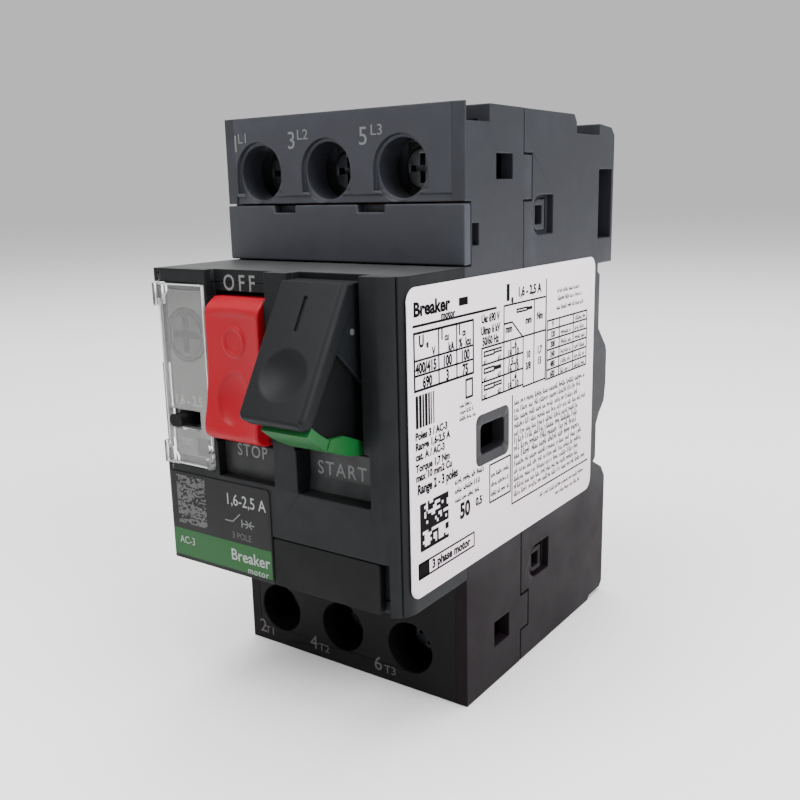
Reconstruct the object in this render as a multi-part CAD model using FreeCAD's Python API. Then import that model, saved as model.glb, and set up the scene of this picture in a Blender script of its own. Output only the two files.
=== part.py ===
import FreeCAD, Part
import math
import os

# Three-pole motor protection breaker, in millimetres.
# +X is the breaker's right side, -Y its front, +Z its top (the incoming side).
# The origin is the middle of the mounting rail, on the plane where the housing seats on it.

# ---- driving dimensions -------------------------------------------------------------------
width = 44.5
height = 89.0
rail_above_base = 45.7       # rail centre above the bottom face
front_depth = 63.4           # seat plane to the front of the nose
shoulder_depth = 46.9        # seat plane to the front of the terminal blocks
seam_depth = 29.8            # seat plane to the joint between rear and middle housing
hook_depth = 5.0             # how far the rail hooks stand behind the seat plane
wall = 2.0
nose_top = 21.3
nose_bottom = -24.8
nose_wall = 1.8
pole_pitch = 13.5
middle_pole_x = -1.8
line_terminal_z = 34.9
load_terminal_z = -38.8
well_radius = 4.2
rail_width = 35.0
moving_gap = 0.3             # free space between bodies on different joints
running_gap = 0.05           # radial clearance of a running fit

# ---- places worked out from them ----------------------------------------------------------
right = width / 2
left = -right
bottom = -rail_above_base
top = bottom + height
front = -front_depth
shoulder = -shoulder_depth
seam = -seam_depth
inner_right = right - wall
inner_left = -inner_right
inner_top = top - wall
inner_bottom = bottom + wall
pole_x = [middle_pole_x - pole_pitch, middle_pole_x, middle_pole_x + pole_pitch]
poles = range(len(pole_x))
terminals = {"line": (line_terminal_z, 1), "load": (load_terminal_z, -1)}
partition_x = [middle_pole_x - pole_pitch / 2, middle_pole_x + pole_pitch / 2, 18.45]
past = 5.0                   # how far a cutting tool runs past a face

# buttons
start_left, start_right = 4.5, 15.5
start_pivot = (-59.6, 17.8)
start_face_top = (-65.0, 20.5)
start_face_tip = (-74.8, 3.8)
start_turn = 30.4            # degrees that pressing START turns it in
stop_left, stop_right = -11.0, -0.5
stop_pivot = (-58.0, 17.0)
pin_radius = 1.0

# setting window
cover_left, cover_right = -22.1, -11.9
cover_bottom, cover_top = -8.7, 19.1
cover_axis = (-21.3, -62.95)
cover_barrel_radius = 0.75
cover_pin_radius = 0.45
dial_centre = (-16.7, 11.4)
dial_radius = 3.9
dial_shaft_radius = 2.0

# rating label and the framed window in it
label_thickness = 0.15
window_frame_yz = ((-44.3, -34.2), (-8.2, -0.4))

# contact system
contact_stroke = 3.0
bridge_z = 16.0
contact_half_span = 7.0
fixed_contact_y = -26.4
bridge_back_y = fixed_contact_y - moving_gap - contact_stroke

# release system
coil_z = -5.0
trip_axis = (-31.5, -18.0)
trip_shaft_radius = 1.3

# terminal clamps
screw_head_front = -41.0
screw_head_radius = 3.2
screw_shank_radius = 2.0
conductor_front = -32.6
conductor_thickness = 1.2


# ---- shape helpers ------------------------------------------------------------------------
def box(x, y, z):
    """A block between pairs of limits along X, Y and Z."""
    low = [min(pair) for pair in (x, y, z)]
    size = [abs(pair[1] - pair[0]) for pair in (x, y, z)]
    return Part.makeBox(*size, FreeCAD.Vector(*low))


def rod(start, axis, radius, length):
    return Part.makeCylinder(radius, length, FreeCAD.Vector(*start), FreeCAD.Vector(*axis))


def along_y(x, z, y, radius):
    return rod((x, y[0], z), (0, 1, 0), radius, y[1] - y[0])


def along_x(y, z, x, radius):
    return rod((x[0], y, z), (1, 0, 0), radius, x[1] - x[0])


def along_z(x, y, z, radius):
    return rod((x, y, z[0]), (0, 0, 1), radius, z[1] - z[0])


def face_of(points):
    vectors = [FreeCAD.Vector(*p) for p in points]
    return Part.Face(Part.makePolygon(vectors + vectors[:1]))


def prism_x(outline_yz, x):
    """An outline in the Y-Z plane, carried from x[0] to x[1]."""
    return face_of([(x[0], y, z) for y, z in outline_yz]).extrude(FreeCAD.Vector(x[1] - x[0], 0, 0))


def prism_y(outline_xz, y):
    """An outline in the X-Z plane, carried from y[0] to y[1]."""
    return face_of([(x, y[0], z) for x, z in outline_xz]).extrude(FreeCAD.Vector(0, y[1] - y[0], 0))


def prism_z(outline_xy, z):
    """An outline in the X-Y plane, carried from z[0] to z[1]."""
    return face_of([(x, y, z[0]) for x, y in outline_xy]).extrude(FreeCAD.Vector(0, 0, z[1] - z[0]))


def rounded(shape, radius, direction, where=None):
    """Round the straight edges that run along a direction, or those of them that pass a test."""
    chosen = []
    for edge in shape.Edges:
        if not isinstance(edge.Curve, Part.Line):
            continue
        run = edge.tangentAt(edge.FirstParameter)
        if abs(abs(run.dot(FreeCAD.Vector(*direction))) - 1) > 1e-6:
            continue
        if where is None or where(edge.CenterOfMass):
            chosen.append(edge)
    return shape.makeFillet(radius, chosen)


def joined(shapes):
    whole = shapes[0]
    for shape in shapes[1:]:
        whole = whole.fuse(shape)
    return whole.removeSplitter()


def cut(shape, tools):
    for tool in tools:
        shape = shape.cut(tool)
    return shape


def coil_spring(base, axis, radius, wire, length, turns):
    """A round-wire compression spring standing on a base point."""
    pitch = (length - 2 * wire) / turns
    helix = Part.makeHelix(pitch, length - 2 * wire, radius)
    section = Part.Wire(Part.makeCircle(wire, FreeCAD.Vector(radius, 0, 0), FreeCAD.Vector(0, 1, 0)))
    spring = Part.Wire(helix.Edges).makePipeShell([section], True, True)
    spring.translate(FreeCAD.Vector(0, 0, wire))
    turn = FreeCAD.Rotation(FreeCAD.Vector(0, 0, 1), FreeCAD.Vector(*axis))
    spring.Placement = FreeCAD.Placement(FreeCAD.Vector(*base), turn).multiply(spring.Placement)
    return spring


def polar(centre, radius, degrees_behind):
    """A Y-Z point at a radius below a pivot, turned behind the vertical by an angle."""
    angle = math.radians(degrees_behind)
    return centre[0] + radius * math.sin(angle), centre[1] - radius * math.cos(angle)


def sector(centre, inner, outer, first, last, x):
    """Part of a ring about a Y-Z pivot, between two angles behind the vertical."""
    steps = [first + (last - first) * step / 12 for step in range(13)]
    outside = [polar(centre, outer, angle) for angle in steps]
    inside = [polar(centre, inner, angle) for angle in reversed(steps)] if inner else [centre]
    return prism_x(outside + inside, x)


# ---- housings -----------------------------------------------------------------------------
def rear_profile():
    """Side outline of the rear housing, clockwise from the top of the housing joint."""
    slot_top = rail_width / 2 + 0.9
    return [
        (seam, top), (-12.0, top), (-11.0, top - 1.2), (-11.0, top - 3.0), (-1.5, top - 3.0),
        (-1.5, top - 1.1), (3.6, top - 1.5), (hook_depth, top - 2.8), (hook_depth, slot_top),
        (-1.0, slot_top), (-1.0, slot_top - 1.4), (0.0, slot_top - 2.0), (0.0, 6.7), (3.4, 3.2),
        (4.0, 1.8), (4.0, -4.0), (3.4, -7.4), (1.3, -9.3), (0.0, -11.2), (0.0, -17.6),
        (-0.9, -18.2), (3.0, -20.2), (4.6, -22.4), (4.6, bottom + 1.7), (3.6, bottom + 0.7),
        (-1.2, bottom + 0.7), (-1.8, bottom), (seam, bottom),
    ]


def pole_partitions(y, z):
    return [box((x - 0.5, x + 0.5), y, z) for x in partition_x]


clip_half_width = 6.5
clip_shoulder = 1.5
clip_rest = (-42.4, -15.5)   # lowest and highest point of the rail clip at rest
clip_stroke = 3.0


def clip_channel():
    """The undercut slot that the rail clip slides in, with the narrow part open to the rear."""
    low, high = bottom - past, -17.0
    narrow = clip_half_width + moving_gap
    wide = narrow + clip_shoulder
    return joined([
        box((-wide, wide), (-2.0, 0.9), (low, high)),
        box((-narrow, narrow), (-2.0, hook_depth + past), (low, high)),
    ])


def side_snap_slots(z, side):
    """The bow-shaped recess on one side wall, with a hole inside its raised ring and a slot behind that."""
    outer_face = side * right
    through = (outer_face + side, outer_face - side * (wall + 1))
    shallow = box((outer_face + side, outer_face - side * 1.2), (-26.5, -19.5), z)
    shallow = rounded(shallow, 2.2, (1, 0, 0), lambda c: c.y < -23)
    ring = box((outer_face - side * 1.3, outer_face - side * 0.4), (-26.0, -21.9), (z[0] + 0.7, z[1] - 0.7))
    ring = rounded(ring, 1.8, (1, 0, 0), lambda c: c.y < -23)
    hole = box(through, (-25.1, -22.7), (z[0] + 1.6, z[1] - 1.6))
    slot = box(through, (-21.8, -19.8), (z[0] + 0.5, z[1] - 0.5))
    return [shallow.cut(ring), hole, slot]


def rear_housing():
    body = prism_x(rear_profile(), (left, right))
    body = cut(body, [
        box((inner_left, inner_right), (seam - past, -13.0), (inner_bottom, inner_top)),
        box((inner_left, inner_right), (-14.0, -3.0), (inner_bottom, top - 5.0)),
    ])
    for web in pole_partitions((seam, -2.5), (inner_bottom - 1, top - 4.0)):
        body = body.fuse(web.cut(box((left, right), (seam - 1, -24.0), (-20.5, 27.0))))
    hook_pockets = [
        box((side * 14.0, side * (right + past)), (-1.5, hook_depth - 0.8), (22.8, 34.7)) for side in (-1, 1)
    ]
    snap_slots = []
    for side in (-1, 1):
        snap_slots += side_snap_slots((24.6, 30.7), side)
        snap_slots += side_snap_slots((-32.4, -26.8), side)
    tab_seats = [snap_joint(side, z, seam_gap) for side in (-1, 1) for z in joint_tabs]
    groove = box((left, right), (seam, seam + seam_gap), (bottom, top)).cut(
        box((left + 0.5, right - 0.5), (seam, seam + seam_gap), (bottom + 0.5, top - 0.5)))
    body = cut(body, hook_pockets + snap_slots + tab_seats + [groove, clip_channel()])
    rail_lips = [
        prism_x([(1.3, 18.6), (1.3, 16.6), (1.9, 15.9), (3.2, 18.6)], (x - 5, x + 5)) for x in (-14.0, 14.0)
    ]
    spring_post = box((-1.6, 1.6), (-2.5, 2.9), (-37.7, -35.7))
    return joined([body] + rail_lips + [spring_post])


def cable_entry(x, upwards):
    """The rectangular way in for a conductor, through the top or bottom wall of the middle housing."""
    z = (inner_top - 1, top + past) if upwards else (bottom - past, inner_bottom + 1)
    return rounded(box((x - 4.4, x + 4.4), (-38.3, -32.7), z), 1.0, (0, 0, 1))


def snap_joint(side, z, play=0.0):
    """The stepped tab where the middle housing clips over the rear one, on one side wall, or its seat."""
    return box((side * (right - 0.8), side * right), (seam, seam + 2.7 + play), (z[0] - play, z[1] + play))


joint_tabs = [(30.1, 36.6), (-40.0, -34.1)]
seam_gap = 0.35              # open line between the outer skins of two joined mouldings
groove_y = (-46.3, -39.9)
groove_floor = top - 2.5


def middle_housing():
    ring = box((left, right), (shoulder, seam), (bottom, top))
    ring = ring.cut(box((inner_left, inner_right), (shoulder - past, seam + past), (inner_bottom, inner_top)))
    ring = cut(ring, [
        # the terminal block fronts close the top and bottom ends
        box((inner_left, inner_right), (shoulder - past, -39.9), (30.2, top + past)),
        box((inner_left, inner_right), (shoulder - past, -39.9), (bottom - past, nose_bottom - 0.1)),
        # shallow bevel on the upright corners of the upper block
        *[
            prism_z([(side * right, shoulder), (side * inner_right, shoulder), (side * right, shoulder + 0.2)],
                    (30.2, top + past))
            for side in (-1, 1)
        ],
        # groove across the top, just behind the upper block's face
        box((left - past, right + past), groove_y, (groove_floor, top + past)),
        # seat of the auxiliary cover
        box((left - past, right + past), (shoulder - past, -45.1), (nose_top, 30.2)),
    ])
    ring = cut(ring, [cable_entry(x, upwards) for x in pole_x for upwards in (True, False)])
    for side in (-1, 1):
        window = (side * (right - wall - 1), side * (right + 1))
        ring = cut(ring, [
            box(window, (-38.1, -33.1), (33.1, 36.7)),
            box(window, (-38.5, -33.6), (-39.4, -35.2)),
            box(window, (-44.9, -43.0), (24.1, 27.2)),
        ])
    window_frame = rounded(box((inner_right, right + label_thickness), *window_frame_yz), 1.3, (1, 0, 0))
    ring = ring.fuse(window_frame)
    ring = ring.cut(rounded(box((inner_right - 1, right + 1), (-43.0, -35.8), (-6.5, -2.0)), 0.8, (1, 0, 0)))
    webs = []
    for web in pole_partitions((-39.5, seam), (inner_bottom - 1, inner_top + 1)):
        webs.append(web.cut(box((left, right), (shoulder, seam + 1), (-22.5, 27.0))))
    bearing_wall = box((partition_x[-1] - 0.5, inner_right), (-34.0, seam), (-21.0, -15.0))
    bearing_boss = box((inner_left, inner_left + 1.2), (-34.0, seam), (-21.0, -15.0))
    shaft_hole = along_x(*trip_axis, (inner_left, inner_right), trip_shaft_radius + running_gap)
    whole = joined([ring] + webs + [bearing_wall, bearing_boss])
    tabs = [snap_joint(side, z) for side in (-1, 1) for z in joint_tabs]
    return joined([whole.cut(shaft_hole)] + tabs)


def terminal_block_front(kind):
    """The face of a terminal block: a plate with three screwdriver wells that run back as tubes."""
    terminal_z, sign = terminals[kind]
    low, high = (30.2, top) if sign > 0 else (bottom, nose_bottom - 0.1)
    plate = box((inner_left, inner_right), (shoulder, shoulder + 2), (low, high))
    lid_z = (groove_floor - 1.4, groove_floor) if sign > 0 else (bottom, inner_bottom)
    lid = box((inner_left, inner_right), (shoulder, -39.9), lid_z)
    tubes = [along_y(x, terminal_z, (shoulder, -41.6), well_radius + 0.9) for x in pole_x]
    front_block = joined([plate, lid] + tubes)
    front_block = front_block.common(box((inner_left, inner_right), (shoulder, seam), (low, high)))
    wells = [along_y(x, terminal_z, (shoulder - 1, seam), well_radius) for x in pole_x]
    front_block = cut(front_block, wells)
    if sign < 0:
        return front_block
    arch_radius = well_radius + 0.5
    arch_depth = (shoulder - 1, shoulder + 0.8)
    arch_foot = terminal_z - 3.1
    arches = []
    for x in pole_x:
        arches.append(along_y(x, terminal_z, arch_depth, arch_radius))
        arches.append(box((x - arch_radius, x + arch_radius), arch_depth, (arch_foot, terminal_z)))
    top_groove = box((left, right), groove_y, (groove_floor, top + past))
    lower_step = box((left, right), (shoulder - 1, shoulder + 0.2), (low - 1, low + 1.1))
    return cut(front_block, arches + [top_groove, lower_step])


def auxiliary_cover():
    """The strip that closes the accessory socket between the nose and the upper terminals."""
    low, high = nose_top + 0.2, 29.9
    strip = box((left, right), (shoulder, -45.3), (low, high))
    rim = box((inner_left + 0.3, inner_right - 0.3), (-45.3, -43.6), (low, low + 1.4))
    upper_rim = box((inner_left + 0.3, inner_right - 0.3), (-45.3, -43.6), (high - 2.6, high))
    notches = [box(x, (shoulder - 1, -45.0), (high - 1.1, high + 1)) for x in ((-12.4, -8.1), (3.9, 8.8))]
    return cut(joined([strip, rim, upper_rim]), notches)


# ---- nose ---------------------------------------------------------------------------------
nose_seam = front + 1.1
plate_back = front + 2.5


def nose_block():
    block = box((left, right), (front, shoulder), (nose_bottom, nose_top))
    return rounded(block, 3.4, (0, 0, 1), lambda c: c.x > 0 and c.y < shoulder - 1)


def start_pocket(depth=2.7):
    """The opening that START swings in, cut to a depth behind the nose's front."""
    return box((start_left - moving_gap, start_right + 0.9), (front - 1, front + depth), (-3.4, nose_top + 1))


def off_recess():
    """Shallow recess above STOP, open at the top, where the word OFF stands."""
    return box((stop_left - 0.4, 0.1), (front - 1, front + 1.8), (17.4, nose_top + 1))


def cover_relief():
    """Room for the setting cover's hinge barrel, open to the left side."""
    return box((left - 1, -20.2), (front - 1, cover_axis[1] + 1.1), (cover_bottom - 0.2, cover_top + 0.2))


def dial_relief():
    """Round clearance for the setting dial's disc."""
    return along_y(*dial_centre, (front - 1, plate_back + 0.4), dial_radius + moving_gap)


def cover_sockets():
    reach = (cover_bottom - 1.6, cover_top + 1.6)
    return along_z(*cover_axis, reach, cover_pin_radius + running_gap)


def front_cowl():
    cowl = nose_block().cut(box((left - 1, right + 1), (front - 1, nose_seam), (nose_bottom - 1, nose_top + 1)))
    inside = box((left + nose_wall, right - nose_wall), (front, shoulder + 1),
                 (nose_bottom + nose_wall, nose_top - nose_wall))
    inside = rounded(inside, 1.6, (0, 0, 1), lambda c: c.x > 0 and c.y < shoulder - 1)
    seam_slab = (nose_seam, nose_seam + 0.2)
    groove = box((left, right), seam_slab, (nose_bottom, nose_top)).cut(
        box((left + 0.4, right - 1.3), seam_slab, (nose_bottom + 0.4, nose_top - 0.4)))
    return cut(cowl, [inside, groove, start_pocket(), off_recess(), cover_relief(), dial_relief(), cover_sockets()])


def front_plate():
    face = nose_block().common(box((left, right), (front, nose_seam), (nose_bottom, nose_top)))
    margin = nose_wall + 0.1
    inset = box((left + margin, right - margin), (nose_seam, plate_back),
                (nose_bottom + margin, nose_top - margin))
    recess_backing = box((3.2, 18.6), (plate_back, front + 4.0), (-11.0, -3.4))
    spring_stop = box((-12.2, -11.5), (plate_back, plate_back + 2.3), (-3.1, -0.1))
    plate = joined([face, inset, recess_backing, spring_stop])
    stop_opening = box((stop_left - 0.3, stop_right + 0.3), (front - 1, front + past), (-4.2, 18.2))
    stop_finger_recess = box((stop_left, 0.2), (front - 1, front + 1.6), (-9.4, -3.0))
    start_finger_recess = prism_x(
        [(front - 1, -2.2), (front + 3.0, -2.2), (front + 3.0, -7.6), (front + 2.4, -9.7), (front - 1, -9.7)],
        (start_left, 17.4))
    start_finger_recess = rounded(start_finger_recess, 0.4, (0, 1, 0))
    window_recess = box((left - 1, cover_right + 0.2), (front - 1, front + 1.2), (cover_bottom - 0.2, cover_top + 0.2))
    window = box((-20.5, -12.4), (front - 1, plate_back), (-7.6, 18.2))
    marker_recess = box((-0.9, 20.0), (front - 1, front + 1.4), (nose_bottom - 1, -17.2))
    return cut(plate, [
        stop_opening, stop_finger_recess, off_recess(), start_finger_recess, start_pocket(past),
        window_recess, window, marker_recess, cover_relief(), dial_relief(), cover_sockets(),
    ])


def marker_plate():
    plate = box((-0.7, 18.5), (front, nose_seam - 0.05), (nose_bottom + 0.1, -17.4))
    return rounded(plate, 0.4, (0, 1, 0))


def front_label():
    return rounded(box((left + 0.2, -0.95), (front - 0.15, front), (nose_bottom + 0.6, -10.2)), 0.5, (0, 1, 0))


def rating_label():
    sheet = rounded(box((right, right + label_thickness), (-61.4, -2.6), (-22.7, 19.8)), 2.0, (1, 0, 0))
    opening = rounded(box((right - 1, right + 1), *window_frame_yz), 1.3, (1, 0, 0))
    return sheet.cut(opening)


# ---- setting window -----------------------------------------------------------------------
def setting_cover():
    """Clear hinged cover, with its barrel, pins, hinge corner blocks and lift tab."""
    outer, inner = front - 0.3, front + 0.6
    sheet = box((cover_axis[0], cover_right), (outer, inner), (cover_bottom, cover_top))
    barrel_ends = ((cover_bottom, dial_centre[1] - dial_radius - 0.6), (dial_centre[1] + dial_radius + 0.6, cover_top))
    barrels = [along_z(*cover_axis, z, cover_barrel_radius) for z in barrel_ends]
    block_width, block_height = 2.9, 3.4
    corners = []
    for edge, step in ((cover_top, -1), (cover_bottom, 1)):
        outline = [
            (cover_left, edge), (cover_left + block_width, edge),
            (cover_left + block_width, edge + step * 1.2), (cover_left + 1.2, edge + step * block_height),
            (cover_left, edge + step * block_height),
        ]
        corners.append(prism_y(outline, (outer - 0.4, inner - 0.2)))
    lift_tab = box((cover_right - 0.9, cover_right), (outer - 0.5, outer), (cover_bottom, cover_bottom + 1.6))
    pins = [
        along_z(*cover_axis, z, cover_pin_radius)
        for z in ((cover_bottom - 1.4, cover_bottom), (cover_top, cover_top + 1.4))
    ]
    slider_slot = box((-20.8, -14.0), (front - past, front + past), (-3.1, 0.0))
    edge_notch = box((cover_right - 0.8, cover_right + 1), (front - past, front + past), (-6.4, -5.0))
    whole = joined([sheet, lift_tab] + barrels + corners + pins)
    return cut(whole, [slider_slot, edge_notch])


def setting_panel():
    dial_floor = plate_back - 0.1
    panel = box((-20.4, -12.5), (front + 1.0, plate_back), (-7.5, 18.1))
    backing = box((-20.2, -12.7), (dial_floor, plate_back + 0.6), (5.5, 17.5))
    dial_hole = along_y(*dial_centre, (front, dial_floor), dial_radius + moving_gap)
    slider_slot = box((-19.8, -14.4), (front, 0), (-2.9, -0.2))
    shaft_hole = along_y(*dial_centre, (front, 0), dial_shaft_radius + moving_gap)
    return cut(joined([panel, backing]), [dial_hole, slider_slot, shaft_hole])


def setting_dial():
    x, z = dial_centre
    disc = along_y(x, z, (front + 0.9, front + 2.1), dial_radius)
    shaft = along_y(x, z, (front + 2.1, -50.0), dial_shaft_radius)
    arms = [box((x - 2.7, x + 2.7), (front, front + 1.6), (z - 0.6, z + 0.6)),
            box((x - 0.6, x + 0.6), (front, front + 1.6), (z - 2.7, z + 2.7))]
    groove = along_y(x, z, (front, front + 1.1), dial_radius - 0.35)
    groove = groove.cut(along_y(x, z, (front, front + 2), dial_radius - 0.7))
    return cut(disc.fuse(shaft), arms + [groove])


def test_slider():
    tab = rounded(box((-19.5, -16.8), (-64.9, -60.6), (-2.5, -0.6)), 0.9, (0, 1, 0))
    shoe = box((-19.7, -16.5), (-60.6, -59.6), (-3.9, 0.8))
    tail = box((-19.6, -18.4), (-59.6, -34.5), (-2.4, -0.9))
    return joined([tab, shoe, tail])


def test_spring():
    return coil_spring((-16.5, -59.75, -1.6), (1, 0, 0), 0.85, 0.18, 4.3, 6)


# ---- buttons ------------------------------------------------------------------------------
def stop_button():
    profile = [
        (-62.3, 17.8), (-64.0, 16.6), (-64.5, 15.5), (-64.5, 6.9), (-65.1, 2.5), (-65.8, -0.4),
        (-65.9, -1.9), (-65.2, -2.7), (-63.3, -3.5), (-59.2, -3.5), (-59.2, 14.0), (-60.2, 17.0), (-61.4, 17.0),
    ]
    cap = prism_x(profile, (stop_left, stop_right))
    hub = along_x(*stop_pivot, (stop_left + 0.4, stop_right - 0.4), 2.0)
    neck = box((stop_left + 0.4, stop_right - 0.4), (-60.2, -58.0), (11.0, 16.4))
    tail = box((-8.0, -4.0), (-59.4, -54.0), (1.0, 4.0))
    button = joined([cap, hub, neck, tail])
    return button.cut(along_x(*stop_pivot, (left, right), pin_radius + running_gap))


def lever_face_point(along, behind):
    """A Y-Z point at a fraction down the START lever's face and a distance behind it."""
    run_y = start_face_tip[0] - start_face_top[0]
    run_z = start_face_tip[1] - start_face_top[1]
    length = math.hypot(run_y, run_z)
    inward = (-run_z / length, run_y / length)
    return (start_face_top[0] + run_y * along + inward[0] * behind,
            start_face_top[1] + run_z * along + inward[1] * behind)


start_arc_radius = math.hypot(start_face_tip[0] - start_pivot[0], start_face_tip[1] - start_pivot[1])


def start_lever():
    """The START lever: a thick cap on two sector cheeks, with a hub and a cam finger between them."""
    slab = 3.2
    cap = prism_x(
        [lever_face_point(0, 0), lever_face_point(1, 0), lever_face_point(1, slab), lever_face_point(0.02, slab)],
        (start_left, start_right))
    upper_cheek = prism_x(
        [lever_face_point(0.02, 1.0), lever_face_point(0.52, 1.0), lever_face_point(0.52, slab),
         (-61.6, 10.2), (-59.8, 18.6), (-61.2, 19.3)],
        (start_left, start_right))
    cheeks = [
        sector(start_pivot, 0, start_arc_radius - 1.4, -41.0, 2.0, x)
        for x in ((start_left + 0.7, start_left + 2.2), (start_right - 2.2, start_right - 0.7))
    ]
    hub = along_x(*start_pivot, (start_left + 0.2, start_right - 0.2), 1.6)
    cam = sector(start_pivot, 0, 6.6, 3.0, 21.0, (start_left + 4.4, start_right - 4.4))
    hollow = box((start_left + 2.2, start_right - 2.2), (-62.4, -40.0), (-10.0, 15.6))
    web = prism_x(
        [lever_face_point(0.3, slab - 0.2), lever_face_point(0.95, slab - 0.2), (-62.6, -0.4), (-61.2, 12.0)],
        (start_left + 0.7, start_right - 0.7))
    lever = joined([cap, upper_cheek.fuse(web).cut(hollow)] + cheeks + [hub, cam])
    arc_limit = sector(start_pivot, start_arc_radius - 1.4, start_arc_radius + past, -41.2, 3.0, (0.0, 20.0))
    lever = lever.cut(arc_limit)
    return lever.cut(along_x(*start_pivot, (0.0, 20.0), pin_radius + running_gap))


def start_skirt():
    """The green band under START that shows while the breaker is off."""
    band_x = (start_left + 2.9, start_right - 0.3)
    band = sector(start_pivot, start_arc_radius - 1.4, start_arc_radius, -41.0, 2.0, band_x)
    cheek_root = start_arc_radius - 1.5
    cheek = prism_x(
        [polar(start_pivot, cheek_root, -29.0), polar(start_pivot, cheek_root - 1.0, -21.0),
         polar(start_pivot, cheek_root - 0.4, -8.0), polar(start_pivot, start_arc_radius, -8.0),
         polar(start_pivot, start_arc_radius, -15.0), polar(start_pivot, start_arc_radius, -22.0),
         polar(start_pivot, start_arc_radius, -29.0)],
        (start_right - 0.7, start_right))
    return joined([band, cheek])


def button_pins():
    """The two steel pivot pins, START's and STOP's."""
    start_pin = along_x(*start_pivot, (2.6, 18.2), pin_radius)
    stop_pin = along_x(*stop_pivot, (-13.1, 1.2), pin_radius)
    return Part.makeCompound([start_pin, stop_pin])


def mechanism_frame():
    """The frame behind the buttons: a floor plate with cheeks that hold the two pivot pins."""
    floor_y = (-46.4, -45.2)
    floor = box((-13.2, 18.2), floor_y, (-14.0, 19.2))
    floor = floor.cut(box((5.5, 14.5), (-50, -40), (-6.0, 17.0)))
    cheeks = []
    for x, pivot in (((2.6, 3.8), start_pivot), ((17.0, 18.2), start_pivot),
                     ((-13.1, -11.9), stop_pivot), ((0.0, 1.2), stop_pivot)):
        eye = along_x(*pivot, x, pin_radius + 0.25)
        arm = prism_x(
            [(floor_y[0], 19.0), (pivot[0], pivot[1] + 1.2), (pivot[0] - 1.1, pivot[1] - 1.0),
             (-52.0, 6.0), (floor_y[0], -14.0)], x)
        cheeks.append(cut(eye.fuse(arm), [along_x(*pivot, x, pin_radius)]))
    feet = [box((x - 1.2, x + 1.2), (floor_y[1], -40.5), (-13.2, -10.8)) for x in (-12.0, 17.0)]
    return joined([floor] + cheeks + feet)


# ---- contact system -----------------------------------------------------------------------
def contact_carrier():
    """The insulating crossbar that carries the moving contacts, and the rod START pushes."""
    back = bridge_back_y
    beam = box((pole_x[0] - 4.2, pole_x[2] + 5.6), (-39.0, -35.0), (12.5, 19.5))
    posts = []
    for x in pole_x:
        post = box((x - 3.2, x + 3.2), (-35.0, back + 0.3), (13.2, 18.8))
        slot = box((x - 2.2, x + 2.2), (back - 1.8, back - 0.6), (10.0, 22.0))
        spring_bore = along_y(x, bridge_z, (-34.8, back - 1.8), 1.7)
        posts.append(cut(post, [slot, spring_bore]))
    push_rod = box((start_left + 4.6, start_right - 4.6), (-56.8, -39.0), (12.6, 15.0))
    return joined([beam, push_rod] + posts)


def contact_bridges():
    """Moving contact bars, one per pole, each with a button at either end."""
    bars = []
    for x in pole_x:
        bar = box((x - 2.2, x + 2.2), (bridge_back_y - 1.8, bridge_back_y - 0.6),
                  (bridge_z - contact_half_span - 2.2, bridge_z + contact_half_span + 2.2))
        buttons = [along_y(x, bridge_z + side * contact_half_span, (bridge_back_y - 0.6, bridge_back_y), 1.6)
                   for side in (-1, 1)]
        bars.append(joined([bar] + buttons))
    return Part.makeCompound(bars)


def contact_springs():
    length = bridge_back_y - 1.8 + 34.8
    return Part.makeCompound(
        [coil_spring((x, -34.8, bridge_z), (0, 1, 0), 1.2, 0.22, length, 4) for x in pole_x])


def line_conductor(x):
    """Incoming conductor: terminal plate with its threaded collar, then the fixed contact arm."""
    z = line_terminal_z
    back = conductor_front + conductor_thickness
    plate = box((x - 4.4, x + 4.4), (conductor_front, back), (z - 4.6, z + 4.6))
    collar = along_y(x, z, (back, back + 2.0), 3.2)
    shelf = box((x - 3.0, x + 3.0), (conductor_front, -24.4), (z - 5.8, z - 4.6))
    arm = box((x - 3.0, x + 3.0), (-25.6, -24.4), (21.0, z - 4.6))
    button = along_y(x, bridge_z + contact_half_span, (fixed_contact_y, -25.6), 1.8)
    thread = along_y(x, z, (conductor_front - 1, back + 3), screw_shank_radius + running_gap)
    return joined([plate, collar, shelf, arm, button]).cut(thread)


def load_conductor(x):
    """Outgoing conductor: terminal plate with its threaded collar, and the foot of the bimetal."""
    z = load_terminal_z
    back = conductor_front + conductor_thickness
    plate = box((x - 4.4, x + 4.4), (conductor_front, back), (z - 4.6, z + 4.6))
    collar = along_y(x, z, (back, back + 2.0), 3.2)
    shelf = box((x - 3.0, x + 3.0), (conductor_front, -24.9), (z + 4.6, z + 5.8))
    thread = along_y(x, z, (conductor_front - 1, back + 3), screw_shank_radius + running_gap)
    return joined([plate, collar, shelf]).cut(thread)


def arc_chute(x):
    """Stack of splitter plates between two fibre cheeks."""
    plates = [box((x - 4.3, x + 4.3), (-23.0, -9.0), (z, z + 0.8)) for z in
              [5.6 + 2.5 * step for step in range(9)]]
    mouth = prism_z([(x - 1.6, -23.5), (x + 1.6, -23.5), (x, -16.5)], (4.0, 28.0))
    cheeks = [box((x + side * 4.3, x + side * 4.8), (-23.0, -9.0), (5.0, 27.0)) for side in (-1, 1)]
    return joined([plate.cut(mouth) for plate in plates] + cheeks)


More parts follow.
